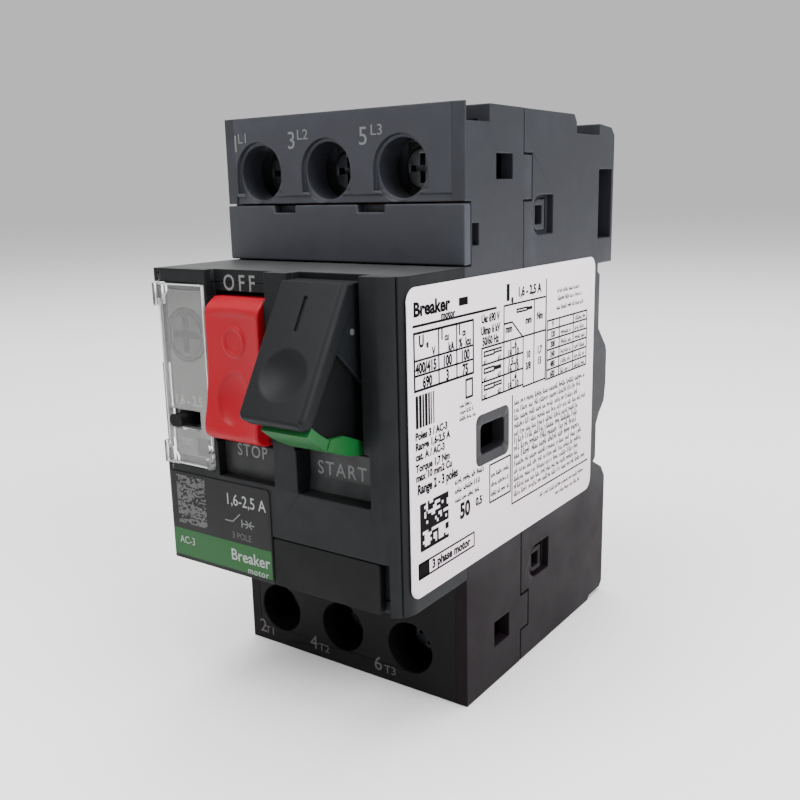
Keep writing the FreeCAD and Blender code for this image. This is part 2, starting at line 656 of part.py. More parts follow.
def magnetic_coil(x):
    """Short-circuit coil on its former, with the strap that ends in the second fixed contact."""
    former = along_y(x, coil_z, (-23.6, -10.0), 2.6)
    flanges = [along_y(x, coil_z, y, 4.7) for y in ((-23.6, -22.8), (-10.8, -10.0))]
    turns = 6
    pitch = (22.8 - 10.8) / turns
    winding = []
    for turn in range(turns):
        start = -22.8 + pitch * turn
        winding.append(along_y(x, coil_z, (start, start + pitch * 0.7), 4.3))
        winding.append(along_y(x, coil_z, (start + pitch * 0.7, start + pitch), 3.6))
    strap = box((x - 2.6, x + 2.6), (-25.6, -24.4), (-1.0, 11.0))
    bend = box((x - 2.6, x + 2.6), (-24.6, -23.4), (-1.6, 1.0))
    button = along_y(x, bridge_z - contact_half_span, (fixed_contact_y, -25.6), 1.8)
    whole = joined([former] + flanges + winding + [strap.cut(along_y(x, coil_z, (-30, -20), 4.9)), bend, button])
    return whole.cut(along_y(x, coil_z, (-30.0, -10.8), 1.5 + moving_gap))


def magnet_plunger(x):
    rod_part = along_y(x, coil_z, (-26.0, -13.0), 1.5)
    return rod_part.makeFillet(0.4, [edge for edge in rod_part.Edges if abs(edge.CenterOfMass.y + 26.0) < 0.01])


def bimetal(x):
    """Bimetal strip that stands on the outgoing conductor, with its heater winding's foot."""
    foot_z = load_terminal_z + 5.8
    return box((x - 2.6, x + 2.6), (-26.4, -25.6), (foot_z, -13.0))


def heater_windings():
    """Heater sleeve round each bimetal."""
    sleeves = []
    for x in pole_x:
        sleeve = rounded(box((x - 3.6, x + 3.6), (-27.6, -24.4), (-30.0, -19.5)), 0.8, (0, 0, 1))
        sleeves.append(sleeve.cut(box((x - 2.6, x + 2.6), (-26.4, -25.6), (-31.0, -18.0))))
    return Part.makeCompound(sleeves)


def trip_bar():
    """Bar across the poles that any plunger, bimetal or the test slider turns."""
    y, z = trip_axis
    shaft = along_x(y, z, (inner_left + 0.2, 19.4), trip_shaft_radius)
    arms = []
    for x in pole_x:
        arms.append(box((x - 1.8, x + 1.8), (-31.2, -29.8), (z, -3.0)))
        arms.append(box((x - 1.8, x + 1.8), (-30.0, -27.8), (-7.0, -3.0)))
        arms.append(box((x - 1.8, x + 1.8), (-30.0, -26.9), (-16.2, -13.4)))
    core = box((pole_x[0] - 3.4, 17.2), (y - 1.2, y + 1.6), (z - 1.2, z + 1.2))
    return joined([shaft, core] + arms)


# ---- terminal clamps ----------------------------------------------------------------------
def terminal_screw(x, z):
    """Clamp screw with a cross recess."""
    head = along_y(x, z, (screw_head_front, screw_head_front + 2.2), screw_head_radius)
    head = head.makeFillet(0.5, [e for e in head.Edges if abs(e.CenterOfMass.y - screw_head_front) < 0.01])
    shank = along_y(x, z, (screw_head_front + 2.2, -28.5), screw_shank_radius)
    depth = (screw_head_front - 1, screw_head_front + 1.5)
    cross = [box((x - 2.1, x + 2.1), depth, (z - 0.45, z + 0.45)),
             box((x - 0.45, x + 0.45), depth, (z - 2.1, z + 2.1))]
    return cut(head.fuse(shank), cross)


def clamp_plate(x, z):
    """The washer plate that the screw presses on the conductor, with its turned-in sides."""
    front_y = screw_head_front + 2.2
    plate = box((x - 4.0, x + 4.0), (front_y, front_y + 1.2), (z - 4.0, z + 4.0))
    lips = [box((x + side * 4.0, x + side * 3.2), (front_y, front_y + 2.0), (z - 4.0, z + 4.0)) for side in (-1, 1)]
    return joined([plate] + lips).cut(along_y(x, z, (-45, -30), screw_shank_radius + running_gap))


# ---- rail clip ----------------------------------------------------------------------------
def rail_clip():
    low, high = clip_rest
    guide = box((-clip_half_width - clip_shoulder, clip_half_width + clip_shoulder), (-1.7, 0.6), (low, -20.5))
    slide = box((-clip_half_width, clip_half_width), (-1.7, 3.6), (low, -19.0))
    jaw = prism_x([(1.3, -19.2), (1.3, -16.8), (1.7, high), (3.6, -17.6), (3.6, -19.2)],
                  (-clip_half_width, clip_half_width))
    window = box((-2.2, 2.2), (-past, past), (-38.0, -26.0))
    tool_slot = box((-2.0, 2.0), (1.8, 5.0), (low + 1.2, low + 2.6))
    return cut(joined([guide, slide, jaw]), [window, tool_slot])


def rail_clip_spring():
    return coil_spring((0.0, 0.9, -35.7), (0, 0, 1), 1.4, 0.3, 9.7, 6)


# ---- everything, by node name -------------------------------------------------------------
def all_nodes():
    nodes = {
        "rear_housing": rear_housing(),
        "middle_housing": middle_housing(),
        "upper_terminal_front": terminal_block_front("line"),
        "lower_terminal_front": terminal_block_front("load"),
        "auxiliary_cover": auxiliary_cover(),
        "front_cowl": front_cowl(),
        "front_plate": front_plate(),
        "marker_plate": marker_plate(),
        "front_label": front_label(),
        "rating_label": rating_label(),
        "setting_cover": setting_cover(),
        "setting_panel": setting_panel(),
        "setting_dial": setting_dial(),
        "test_slider": test_slider(),
        "test_spring": test_spring(),
        "stop_button": stop_button(),
        "start_lever": start_lever(),
        "start_skirt": start_skirt(),
        "button_pins": button_pins(),
        "mechanism_frame": mechanism_frame(),
        "contact_carrier": contact_carrier(),
        "contact_bridges": contact_bridges(),
        "contact_springs": contact_springs(),
        "trip_bar": trip_bar(),
        "heater_windings": heater_windings(),
        "rail_clip": rail_clip(),
        "rail_clip_spring": rail_clip_spring(),
    }
    for pole in poles:
        x = pole_x[pole]
        number = pole + 1
        nodes[f"line_conductor_{number}"] = line_conductor(x)
        nodes[f"load_conductor_{number}"] = load_conductor(x)
        nodes[f"arc_chute_{number}"] = arc_chute(x)
        nodes[f"magnetic_coil_{number}"] = magnetic_coil(x)
        nodes[f"magnet_plunger_{number}"] = magnet_plunger(x)
        nodes[f"bimetal_{number}"] = bimetal(x)
        for kind, (z, _) in terminals.items():
            nodes[f"{kind}_screw_{number}"] = terminal_screw(x, z)
            nodes[f"{kind}_clamp_{number}"] = clamp_plate(x, z)
    return nodes


os.makedirs("parts", exist_ok=True)
for name, shape in all_nodes().items():
    shape.exportStep(f"parts/{name}.step")
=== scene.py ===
import math
import random

import bmesh
import bpy
from mathutils import Matrix, Vector


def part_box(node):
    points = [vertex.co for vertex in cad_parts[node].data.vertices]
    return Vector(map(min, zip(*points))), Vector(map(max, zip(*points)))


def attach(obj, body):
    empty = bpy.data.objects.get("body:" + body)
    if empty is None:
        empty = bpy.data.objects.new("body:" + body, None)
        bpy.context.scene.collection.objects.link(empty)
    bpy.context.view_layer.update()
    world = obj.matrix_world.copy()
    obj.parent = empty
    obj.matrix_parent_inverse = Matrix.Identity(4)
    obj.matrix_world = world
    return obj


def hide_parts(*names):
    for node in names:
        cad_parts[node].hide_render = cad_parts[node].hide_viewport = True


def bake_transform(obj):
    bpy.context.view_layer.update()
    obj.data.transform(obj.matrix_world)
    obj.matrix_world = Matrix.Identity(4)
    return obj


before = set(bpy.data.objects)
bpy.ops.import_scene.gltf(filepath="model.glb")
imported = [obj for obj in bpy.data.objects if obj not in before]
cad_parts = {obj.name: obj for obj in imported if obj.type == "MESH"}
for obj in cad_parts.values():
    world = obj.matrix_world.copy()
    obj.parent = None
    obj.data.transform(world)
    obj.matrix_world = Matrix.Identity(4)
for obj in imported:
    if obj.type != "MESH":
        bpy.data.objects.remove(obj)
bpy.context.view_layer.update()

# Looks of the motor protection breaker. Lengths are metres in the CAD frame: +X is the breaker's
# right, -Y its front, +Z its top. MM and the helper mm() turn millimetres into metres.
MM = 0.001
RIGHT, BACK, UP = Vector((1, 0, 0)), Vector((0, 1, 0)), Vector((0, 0, 1))
chance = random.Random(7)


def mm(*values):
    return Vector([value * MM for value in values])


def add_to_scene(name, data):
    """A new object in the scene with the given mesh, curve, light or camera."""
    piece = bpy.data.objects.new(name, data)
    bpy.context.scene.collection.objects.link(piece)
    return piece


# ---- places read from the frame -----------------------------------------------------------
nose_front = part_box("front_plate")[0].y
floor_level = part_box("rear_housing")[0].z
block_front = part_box("upper_terminal_front")[0].y
label_low, label_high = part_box("rating_label")
film_low, film_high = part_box("front_label")
stop_low, stop_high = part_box("stop_button")
start_low, start_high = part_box("start_lever")
cover_low, cover_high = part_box("setting_cover")
dial_low, dial_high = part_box("setting_dial")
pole_centres = [sum((corner.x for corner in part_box(f"line_screw_{pole}")), 0.0) / 2 for pole in (1, 2, 3)]
line_screw_z = sum(corner.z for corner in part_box("line_screw_1")) / 2
load_screw_z = sum(corner.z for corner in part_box("load_screw_1")) / 2


# ---- materials ----------------------------------------------------------------------------
PAINTED_FOOT_SHADE = (-27 * MM, 16 * MM)  # heights between which the painted shade at the foot fades out


def tint(colour, gain):
    """The colour made brighter or darker."""
    return tuple(min(1.0, channel * gain) for channel in colour)


class Look:
    """A node material in the making, with the nodes that feed its shader."""

    def __init__(self, name):
        self.material = bpy.data.materials.new(name)
        self.material.use_nodes = True
        self.nodes, self.links = self.material.node_tree.nodes, self.material.node_tree.links
        self.shader = self.nodes["Principled BSDF"]
        self.place = self.nodes.new("ShaderNodeTexCoord").outputs["Object"]

    def feed(self, node, inputs):
        """Gives inputs of a node their values, or links them to other nodes' outputs."""
        for name, value in inputs.items():
            if isinstance(value, bpy.types.NodeSocket):
                self.links.new(value, node.inputs[name])
            else:
                node.inputs[name].default_value = value
        return node

    def output(self, kind, name, inputs):
        """The named output of a new node."""
        return self.feed(self.nodes.new(kind), inputs).outputs[name]

    def finish(self, inputs):
        """Feeds the shader and gives the material."""
        self.feed(self.shader, inputs)
        return self.material

    def noise(self, scale, detail=4.0, roughness=0.55, stretch=None):
        place = self.place
        if stretch:
            place = self.output("ShaderNodeMapping", "Vector", {"Scale": stretch, "Vector": place})
        return self.output("ShaderNodeTexNoise", "Fac", {
            "Scale": scale, "Detail": detail, "Roughness": roughness, "Vector": place,
        })

    def ramp(self, factor, stops):
        """A colour ramp through (position, colour) stops."""
        node = self.nodes.new("ShaderNodeValToRGB")
        elements = node.color_ramp.elements
        while len(elements) < len(stops):
            elements.new(0.5)
        for element, (position, colour) in zip(elements, stops):
            element.position = position
            element.color = (*colour, 1.0)
        return self.feed(node, {"Fac": factor}).outputs["Color"]

    def spread(self, factor, low, high, from_low=0.3, from_high=0.7):
        """Maps a noise factor on to a range of values."""
        return self.output("ShaderNodeMapRange", "Result", {
            "From Min": from_low, "From Max": from_high, "To Min": low, "To Max": high, "Value": factor,
        })

    def bump(self, height, strength, distance, below=None):
        """A bump from a height, on top of the normal from below."""
        inputs = {"Strength": strength, "Distance": distance, "Height": height}
        if below is not None:
            inputs["Normal"] = below
        return self.output("ShaderNodeBump", "Normal", inputs)

    def mix(self, factor, low, high):
        """Blends from one colour to another as the factor rises."""
        node = self.nodes.new("ShaderNodeMix")
        node.data_type = "RGBA"
        return self.feed(node, {"Factor": factor, "A": low, "B": high}).outputs["Result"]

    def painted_shade_fade(self):
        """Fade of the painted shade: 0 at the object's foot, rising to 1 at its middle."""
        height = self.output("ShaderNodeSeparateXYZ", "Z", {0: self.place})
        return self.spread(height, 0.0, 1.0, *PAINTED_FOOT_SHADE)

    def worn_edges(self, body, worn):
        """Blends a body colour to a worn one in patches along outward edges."""
        edges = self.nodes.new("ShaderNodeNewGeometry").outputs["Pointiness"]
        rubbed = self.spread(edges, 0.0, 1.0, 0.515, 0.60)
        patches = self.spread(self.noise(300.0, 5.0), 0.1, 1.0, 0.35, 0.65)
        amount = self.nodes.new("ShaderNodeMath")
        amount.operation = "MULTIPLY"
        amount.use_clamp = True
        self.feed(amount, {0: rubbed, 1: patches})
        return self.mix(amount.outputs[0], body, (*worn, 1.0))

    def rounded_normal(self, radius):
        """A normal that turns smoothly over edges, for a radius in millimetres."""
        soft_edges = self.nodes.new("ShaderNodeBevel")
        soft_edges.samples = 4
        return self.feed(soft_edges, {"Radius": radius * MM}).outputs["Normal"]


def moulded_plastic(name, colour, roughness=0.5, variation=0.07, grain=0.25, grain_scale=2600.0,
                    specular=0.35, wear=1.8, foot=None, painted_shade_specular=0.05, rounding=0.0, grazing=None):
    """Injection-moulded plastic: eroded grain, faint flow clouds, handling polish and edges rubbed paler.

    foot is painted shade: the colour the plastic is darkened to near the object's foot; rounding is an edge
    radius in mm, and grazing the specular level that the face reaches when seen nearly edge on.
    """
    look = Look(name)
    body = look.ramp(look.noise(45.0, 5.0), [
        (0.30, tint(colour, 1 - variation)), (0.55, colour), (0.75, tint(colour, 1 + variation)),
    ])
    body = look.worn_edges(body, tint(colour, wear))
    look.feed(look.shader, {"Specular IOR Level": specular})
    shine = specular
    if grazing:
        facing = look.nodes.new("ShaderNodeLayerWeight").outputs["Facing"]
        shine = look.spread(facing, specular, grazing, 0.62, 0.92)
    # painted shade: darker colour and weaker specular towards the object's foot
    if foot:
        share = look.painted_shade_fade()
        shine = look.spread(share, painted_shade_specular, specular, 0.0, 1.0)
        body = look.mix(share, (*foot, 1.0), body)
    polish = look.noise(120.0, 6.0, 0.65)
    rounded = look.rounded_normal(rounding) if rounding else None
    coarse = look.bump(look.noise(60.0, 2.0), 0.08, 0.0002, rounded)
    fine = look.noise(grain_scale, 3.0, 0.6)
    return look.finish({
        "Base Color": body, "Specular IOR Level": shine,
        "Roughness": look.spread(polish, roughness - 0.06, roughness + 0.08),
        "Normal": look.bump(fine, grain, 0.00003, coarse),
    })


def brushed_metal(name, colour, roughness=0.32, stretch=(1.0, 12.0, 1.0), pits=0.3):
    """Drawn or plated metal: brushing along one axis and cloudy stains."""
    look = Look(name)
    streaks = look.noise(900.0, 4.0, 0.6, stretch)
    stains = look.noise(260.0, 5.0, 0.6)
    body = look.ramp(stains, [
        (0.25, tint(colour, 0.62)), (0.5, tint(colour, 0.92)), (0.72, tint(colour, 1.1)),
    ])
    return look.finish({
        "Base Color": body, "Metallic": 1.0,
        "Roughness": look.spread(stains, roughness - 0.08, roughness + 0.16),
        "Normal": look.bump(streaks, pits, 0.00003),
    })


def clear_plastic(name):
    """Clear moulded plastic with a slight haze and fine upright scuffs."""
    look = Look(name)
    haze = look.noise(180.0, 5.0)
    scuffs = look.noise(700.0, 3.0, 0.6, (1.0, 1.0, 0.12))
    return look.finish({
        "Base Color": (0.96, 0.97, 0.965, 1.0), "Transmission Weight": 0.98, "IOR": 1.46,
        "Specular IOR Level": 0.2, "Roughness": look.spread(haze, 0.03, 0.10),
        "Normal": look.bump(scuffs, 0.025, 0.00003),
    })


def printed_film(name, colour, roughness=0.38, fibre=0.10, specular=0.5, foot=None):
    """Printed polyester film with a faint orange-peel surface and slight toner mottling."""
    look = Look(name)
    mottle = look.noise(150.0, 6.0)
    body = look.ramp(mottle, [
        (0.3, tint(colour, 0.95)), (0.6, colour), (0.8, tint(colour, 1.03)),
    ])
    # painted shade: the film darkened towards the object's foot
    if foot:
        body = look.mix(look.painted_shade_fade(), (*foot, 1.0), body)
    return look.finish({
        "Base Color": body, "Specular IOR Level": specular,
        "Roughness": look.spread(mottle, roughness - 0.05, roughness + 0.08),
        "Normal": look.bump(look.noise(700.0, 2.0), fibre, 0.00004),
    })


# housing plastic, with painted shade towards the object's foot
housing_material = moulded_plastic("housing_plastic", (0.0130, 0.0142, 0.0186), 0.45, specular=0.30,
                                   foot=(0.0080, 0.0058, 0.0072), rounding=0.3)
block_material = moulded_plastic("block_plastic", (0.021, 0.0226, 0.0288), 0.45, specular=0.32, rounding=0.35)
# painted shade: the lower terminal block's plastic far darker than the housing's, for the shade on the lower
# part
lower_block_painted_shade_material = moulded_plastic("lower_block_painted_shade", (0.0032, 0.0029, 0.0033), specular=0.10, rounding=0.3)
nose_material = moulded_plastic("nose_plastic", (0.0042, 0.0049, 0.0055), 0.48, specular=0.14, rounding=0.3,
                                grazing=1.0)
# painted light: paler copies of the nose plastic on the recess floors, lifting their shade
stop_recess_painted_light_material = moulded_plastic("stop_recess_painted_light", (0.0115, 0.0120, 0.0125), 0.48, specular=0.2)
start_recess_painted_light_material = moulded_plastic("start_recess_painted_light", (0.0190, 0.0200, 0.0210), 0.48, specular=0.2)
marker_material = moulded_plastic("marker_plastic", (0.0028, 0.0029, 0.0033), specular=0.10, rounding=0.3)
film_material = printed_film("front_film", (0.0052, 0.0052, 0.0056), 0.46, specular=0.16)
green_film_material = printed_film("green_film", (0.006, 0.060, 0.011), 0.46, specular=0.2)
# rating label, with painted shade towards the object's foot
label_material = printed_film("rating_film", (0.80, 0.730, 0.765), 0.36, foot=(0.62, 0.525, 0.57))
ink_material = printed_film("label_ink", (0.0015, 0.0013, 0.0018), 0.5, specular=0.03)
faint_ink_material = printed_film("faint_label_ink", (0.045, 0.040, 0.044), 0.5, specular=0.1)
pale_ink_material = printed_film("pale_ink", (0.24, 0.25, 0.25), 0.5, specular=0.3)
grey_ink_material = printed_film("grey_ink", (0.120, 0.125, 0.125), 0.5, specular=0.3)
dim_ink_material = printed_film("dim_ink", (0.056, 0.056, 0.058), 0.5, specular=0.3)
clear_material = clear_plastic("clear_plastic")
# painted highlight: pale strips on the clear cover's cut edges
cover_edge_highlight_material = printed_film("cover_edge_highlight", (0.55, 0.57, 0.56), 0.25)
panel_material = moulded_plastic("grey_plastic", (0.108, 0.108, 0.105), 0.55, 0.05, 0.05, specular=0.2,
                                 wear=1.1)
dial_material = moulded_plastic("dial_plastic", (0.030, 0.030, 0.030), 0.50, 0.08, 0.05, specular=0.2,
                                wear=3.5, rounding=0.15)
lever_material = moulded_plastic("lever_plastic", (0.0037, 0.0044, 0.0054), 0.50, 0.10, 0.22, specular=0.15,
                                 rounding=0.25)
nub_material = moulded_plastic("nub_plastic", (0.050, 0.053, 0.056), 0.4, 0.10, 0.2)
black_material = moulded_plastic("black_plastic", (0.0022, 0.0023, 0.0026), 0.52, 0.10, 0.2, specular=0.10)
red_material = moulded_plastic("red_plastic", (0.255, 0.0030, 0.0100), 0.42, 0.05, 0.16, specular=0.16,
                               wear=1.15)
green_material = moulded_plastic("green_plastic", (0.005, 0.066, 0.014), 0.40, 0.08, 0.16, specular=0.25,
                                 wear=1.2)
brown_material = moulded_plastic("carrier_plastic", (0.030, 0.020, 0.014), 0.55, 0.12, 0.3)
fibre_material = moulded_plastic("heater_sleeve", (0.40, 0.35, 0.26), 0.8, 0.2, 0.5, 1400.0)
# painted shade: the screws darkened because they sit deep in shaded terminal wells
screw_painted_shade_material = brushed_metal("screw_steel", (0.085, 0.09, 0.10), 0.32)
steel_material = brushed_metal("pin_steel", (0.50, 0.50, 0.50), 0.28)
# painted shade: plated clamps and chutes, and the copper below, darkened because they sit inside the wells
# and housing
zinc_painted_shade_material = brushed_metal("plated_steel", (0.12, 0.12, 0.115), 0.38)
copper_painted_shade_material = brushed_metal("copper", (0.28, 0.145, 0.09), 0.36)
winding_material = brushed_metal("magnet_copper", (0.42, 0.16, 0.07), 0.25, (1.0, 30.0, 1.0), 0.5)
bimetal_material = brushed_metal("bimetal_strip", (0.50, 0.48, 0.42), 0.35)
spring_material = brushed_metal("spring_steel", (0.42, 0.42, 0.43), 0.3)

node_materials = {
    "rear_housing": housing_material, "middle_housing": housing_material,
    "upper_terminal_front": block_material, "lower_terminal_front": lower_block_painted_shade_material,
    "auxiliary_cover": block_material, "front_cowl": nose_material, "front_plate": nose_material,
    "marker_plate": marker_material, "front_label": film_material, "rating_label": label_material,
    "setting_cover": clear_material, "setting_panel": panel_material, "setting_dial": dial_material,
    "test_slider": black_material, "rail_clip": black_material, "start_lever": lever_material,
    "start_skirt": green_material, "stop_button": red_material, "button_pins": steel_material,
    "mechanism_frame": steel_material, "contact_carrier": brown_material, "trip_bar": brown_material,
    "contact_bridges": copper_painted_shade_material, "contact_springs": spring_material,
    "test_spring": spring_material, "rail_clip_spring": spring_material, "heater_windings": fibre_material,
}
family_materials = {
    "screw": screw_painted_shade_material, "clamp": zinc_painted_shade_material, "conductor": copper_painted_shade_material,
    "coil": winding_material, "plunger": steel_material, "bimetal": bimetal_material,
    "chute": zinc_painted_shade_material,
}


def finish_node(name, node):
    """Gives a CAD node its material and small moulded or stamped edge radii."""
    material = node_materials.get(name)
    if material is None:
        material = next(value for key, value in family_materials.items() if key in name)
    node.data.materials.clear()
    node.data.materials.append(material)
    weld = node.modifiers.new("weld", "WELD")
    weld.merge_threshold = 2e-6
    radius = edge_radius.get(name, 0.12)
    if radius:
        bevel = node.modifiers.new("edge", "BEVEL")
        bevel.width = radius * MM
        bevel.segments = 2
        bevel.limit_method = "ANGLE"
        bevel.angle_limit = math.radians(35)
        bevel.miter_outer = "MITER_ARC"
    weighted = node.modifiers.new("shading", "WEIGHTED_NORMAL")
    weighted.keep_sharp = False
    weighted.weight = 100


edge_radius = {
    "rear_housing": 0.22, "middle_housing": 0.18, "front_cowl": 0.2, "front_plate": 0.18,
    "auxiliary_cover": 0.2, "upper_terminal_front": 0.16, "lower_terminal_front": 0.16,
    "rating_label": 0.0, "front_label": 0.0, "contact_springs": 0.0, "test_spring": 0.0,
    "rail_clip_spring": 0.0, "start_skirt": 0.15,
}
for node_name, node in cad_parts.items():
    finish_node(node_name, node)


# ---- mesh helpers -------------------------------------------------------------------------
def add_object(name, mesh, material, body, smooth=True):
    mesh.validate()
    mesh.polygons.foreach_set("use_smooth", [smooth] * len(mesh.polygons))
    if smooth:
        mesh.set_sharp_from_angle(angle=math.radians(50))
    mesh.materials.append(material)
    piece = add_to_scene(name, mesh)
    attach(piece, body)
    return piece


def lines_between(low, high, step, extra=()):
    """Grid lines from low to high about a step apart, with given extra lines among them."""
    count = max(1, round((high - low) / step))
    lines = [low + (high - low) * index / count for index in range(count + 1)]
    lines += [line for line in extra if low < line < high]
    return sorted(set(round(line, 9) for line in lines))


RIM_SHARES = (0.08, 0.22, 0.42, 0.68, 1.0)  # where the grid lines of a rounded rim lie across it


def rounded_drop(distance, radius):
    """How far a rounded rim has fallen at a distance inside its outline."""
    if distance >= radius:
        return 0.0
    return radius - math.sqrt(max(0.0, radius ** 2 - (radius - distance) ** 2))


def smooth_step(value):
    value = min(1.0, max(0.0, value))
    return value * value * (3 - 2 * value)


def closed_sheet(name, across, along, outer, inner):
    """A closed mesh between an outer and an inner surface over one grid of lines."""
    mesh = bpy.data.meshes.new(name)
    columns, rows = len(across), len(along)
    points = [outer(u, v) for v in along for u in across]
    points += [inner(u, v) for v in along for u in across]
    offset = columns * rows
    faces = []
    for row in range(rows - 1):
        for column in range(columns - 1):
            corner = row * columns + column
            quad = (corner, corner + 1, corner + columns + 1, corner + columns)
            faces.append(quad)
            faces.append(tuple(index + offset for index in reversed(quad)))
    rim = list(range(columns))
    rim += [row * columns + columns - 1 for row in range(1, rows)]
    rim += [(rows - 1) * columns + column for column in range(columns - 2, -1, -1)]
    rim += [row * columns for row in range(rows - 2, 0, -1)]
    for here, there in zip(rim, rim[1:] + rim[:1]):
        faces.append((there, here, here + offset, there + offset))
    mesh.from_pydata([tuple(point) for point in points], [], faces)
    mesh.update()
    return mesh


def prism(shape, outline, base, across, up, normal, thickness):
    """Adds to a bmesh an outline (pairs along across and up from base), carried along normal."""
    low = [shape.verts.new(base + across * u + up * v) for u, v in outline]
    high = [shape.verts.new(vertex.co + normal * thickness) for vertex in low]
    shape.faces.new(low)
    shape.faces.new(list(reversed(high)))
    for index in range(len(low)):
        following = (index + 1) % len(low)
        shape.faces.new((low[following], low[index], high[index], high[following]))
    return shape


def bevel_mesh(shape, radius, segments=2, angle=35):
    edges = [edge for edge in shape.edges if len(edge.link_faces) == 2
             and edge.calc_face_angle(0.0) > math.radians(angle)]
    bmesh.ops.bevel(shape, geom=edges, offset=radius, segments=segments, profile=0.5, affect="EDGES")


def mesh_of(name, shape):
    bmesh.ops.recalc_face_normals(shape, faces=shape.faces)
    mesh = bpy.data.meshes.new(name)
    shape.to_mesh(mesh)
    shape.free()
    return mesh


# ---- printing -----------------------------------------------------------------------------
class Surface:
    """A flat face that is printed on. Places are metres along across and up, from the frame's origin."""

    def __init__(self, across, up, normal, level, lift=0.01 * MM):
        self.across, self.up, self.normal = across, up, normal
        self.base = self.normal * (level + lift)
        self.thickness = 0.02 * MM
        self.inks = {}

    def sheet(self, ink):
        return self.inks.setdefault(ink, bmesh.new())

    def shape(self, ink, outline):
        prism(self.sheet(ink), outline, self.base, self.across, self.up, self.normal, self.thickness)

    def bar(self, ink, u0, u1, v0, v1):
        self.shape(ink, [(u0, v0), (u1, v0), (u1, v1), (u0, v1)])

    def line(self, ink, start, end, width):
        direction = Vector((end[0] - start[0], end[1] - start[1])).normalized()
        side = Vector((-direction.y, direction.x)) * (width / 2)
        self.shape(ink, [(start[0] + side.x, start[1] + side.y), (start[0] - side.x, start[1] - side.y),
                         (end[0] - side.x, end[1] - side.y), (end[0] + side.x, end[1] + side.y)])

    def frame_box(self, ink, u0, u1, v0, v1, width):
        self.bar(ink, u0, u1, v0, v0 + width)
        self.bar(ink, u0, u1, v1 - width, v1)
        self.bar(ink, u0, u0 + width, v0 + width, v1 - width)
        self.bar(ink, u1 - width, u1, v0 + width, v1 - width)

    def words(self, ink, text, u, v, height, squeeze=1.0, weight=0.0, align="CENTER", spacing=1.0):
        """Lettering at a place. height is a capital's, and weight thickens the strokes by a share of it."""
        curve = bpy.data.curves.new("lettering", "FONT")
        curve.body = text
        curve.size = height / 0.69
        curve.offset = height * weight
        curve.space_character = spacing
        curve.align_x = align
        curve.align_y = "CENTER"
        curve.resolution_u = 3
        curve.extrude = self.thickness / 2
        carrier = add_to_scene("lettering", curve)
        bpy.context.view_layer.update()
        drawn = carrier.evaluated_get(bpy.context.evaluated_depsgraph_get())
        outline = bpy.data.meshes.new_from_object(drawn)
        axes = Matrix((self.across, self.up, self.normal)).transposed().to_4x4()
        middle = self.base + self.across * u + self.up * v + self.normal * (self.thickness / 2)
        outline.transform(Matrix.Translation(middle) @ axes @ Matrix.Diagonal((squeeze, 1.0, 1.0, 1.0)))
        self.sheet(ink).from_mesh(outline)
        bpy.data.objects.remove(carrier)
        bpy.data.curves.remove(curve)
        bpy.data.meshes.remove(outline)

    def small_print(self, ink, u0, u1, v, height):
        """A line of illegible print: short upright strokes in words of chance length."""
        u = u0
        while u < u1 - 0.3 * MM:
            stop = min(u + chance.uniform(1.2, 3.4) * height, u1)
            while u < stop - 0.2 * height:
                letter = min(chance.uniform(0.42, 0.62) * height, stop - u)
                rise = chance.choice((0.62, 0.62, 0.95))
                foot = chance.choice((0.0, 0.0, 0.25))
                self.bar(ink, u, u + letter * 0.4, v, v + height * rise)
                if chance.random() < 0.8:
                    level = v + height * foot
                    self.bar(ink, u + letter * 0.4, u + letter * 0.85, level, level + height * 0.3)
                u += letter
            u += 0.45 * height

    def cells(self, ink, u0, u1, v0, v1, columns, rows, share):
        """A square of small blocks filled by chance, in runs along each row."""
        width, height = (u1 - u0) / columns, (v1 - v0) / rows
        for row in range(rows):
            column = 0
            while column < columns:
                run = 1
                while column + run < columns and chance.random() < 0.4:
                    run += 1
                if chance.random() < share:
                    self.bar(ink, u0 + column * width, u0 + (column + run) * width,
                             v0 + row * height, v0 + (row + 1) * height)
                column += run

    def finish(self, name, body, slot_name):
        for index, (ink, shape) in enumerate(self.inks.items()):
            piece_name = f"{name}_{index + 1}"
            add_object(piece_name, mesh_of(piece_name, shape), ink, body, smooth=False)


def front_surface(level):
    return Surface(RIGHT, UP, -BACK, -level)


def side_surface(level):
    return Surface(BACK, UP, RIGHT, level)


def print_terminal_numbers():
    """Terminal numbers beside the wells, odd at the top and even at the bottom."""
    number_shift = (4.6, 6.4, 6.3)
    phase_shift = (3.0, 4.2, 3.9)
    upper, lower = front_surface(block_front), front_surface(block_front)
    for pole, x in enumerate(pole_centres):
        number_x, phase_x = x - number_shift[pole] * MM, x - phase_shift[pole] * MM
        upper.words(grey_ink_material, str(2 * pole + 1), number_x, line_screw_z + 4.5 * MM, 2.5 * MM, 1.0)
        upper.words(grey_ink_material, f"L{pole + 1}", phase_x, line_screw_z + 5.3 * MM, 1.45 * MM, 1.12)
        lower.words(dim_ink_material, str(2 * pole + 2), number_x, load_screw_z - 4.6 * MM, 2.4 * MM, 1.0)
        lower.words(dim_ink_material, f"T{pole + 1}", phase_x, load_screw_z - 5.1 * MM, 1.35 * MM, 1.12)
    upper.finish("line_numbers", "housing", "housing_plastic")
    lower.finish("load_numbers", "housing", "housing_plastic")


def print_front():
    """OFF, STOP and START in their recesses."""
    for name, text, depth, u, v, height, squeeze, spacing in (
        ("off", "OFF", 1.8, -6.4, 19.3, 2.25, 0.88, 1.45),
        ("stop", "STOP", 1.6, -5.5, -5.4, 1.85, 0.86, 1.16),
        ("start", "START", 3.0, 10.2, -6.3, 1.95, 0.92, 1.22),
    ):
        face = front_surface(nose_front + depth * MM)
        face.words(grey_ink_material, text, u * MM, v * MM, height * MM, squeeze, 0.012, spacing=spacing)
        face.finish(f"{name}_lettering", "housing", "nose_plastic")


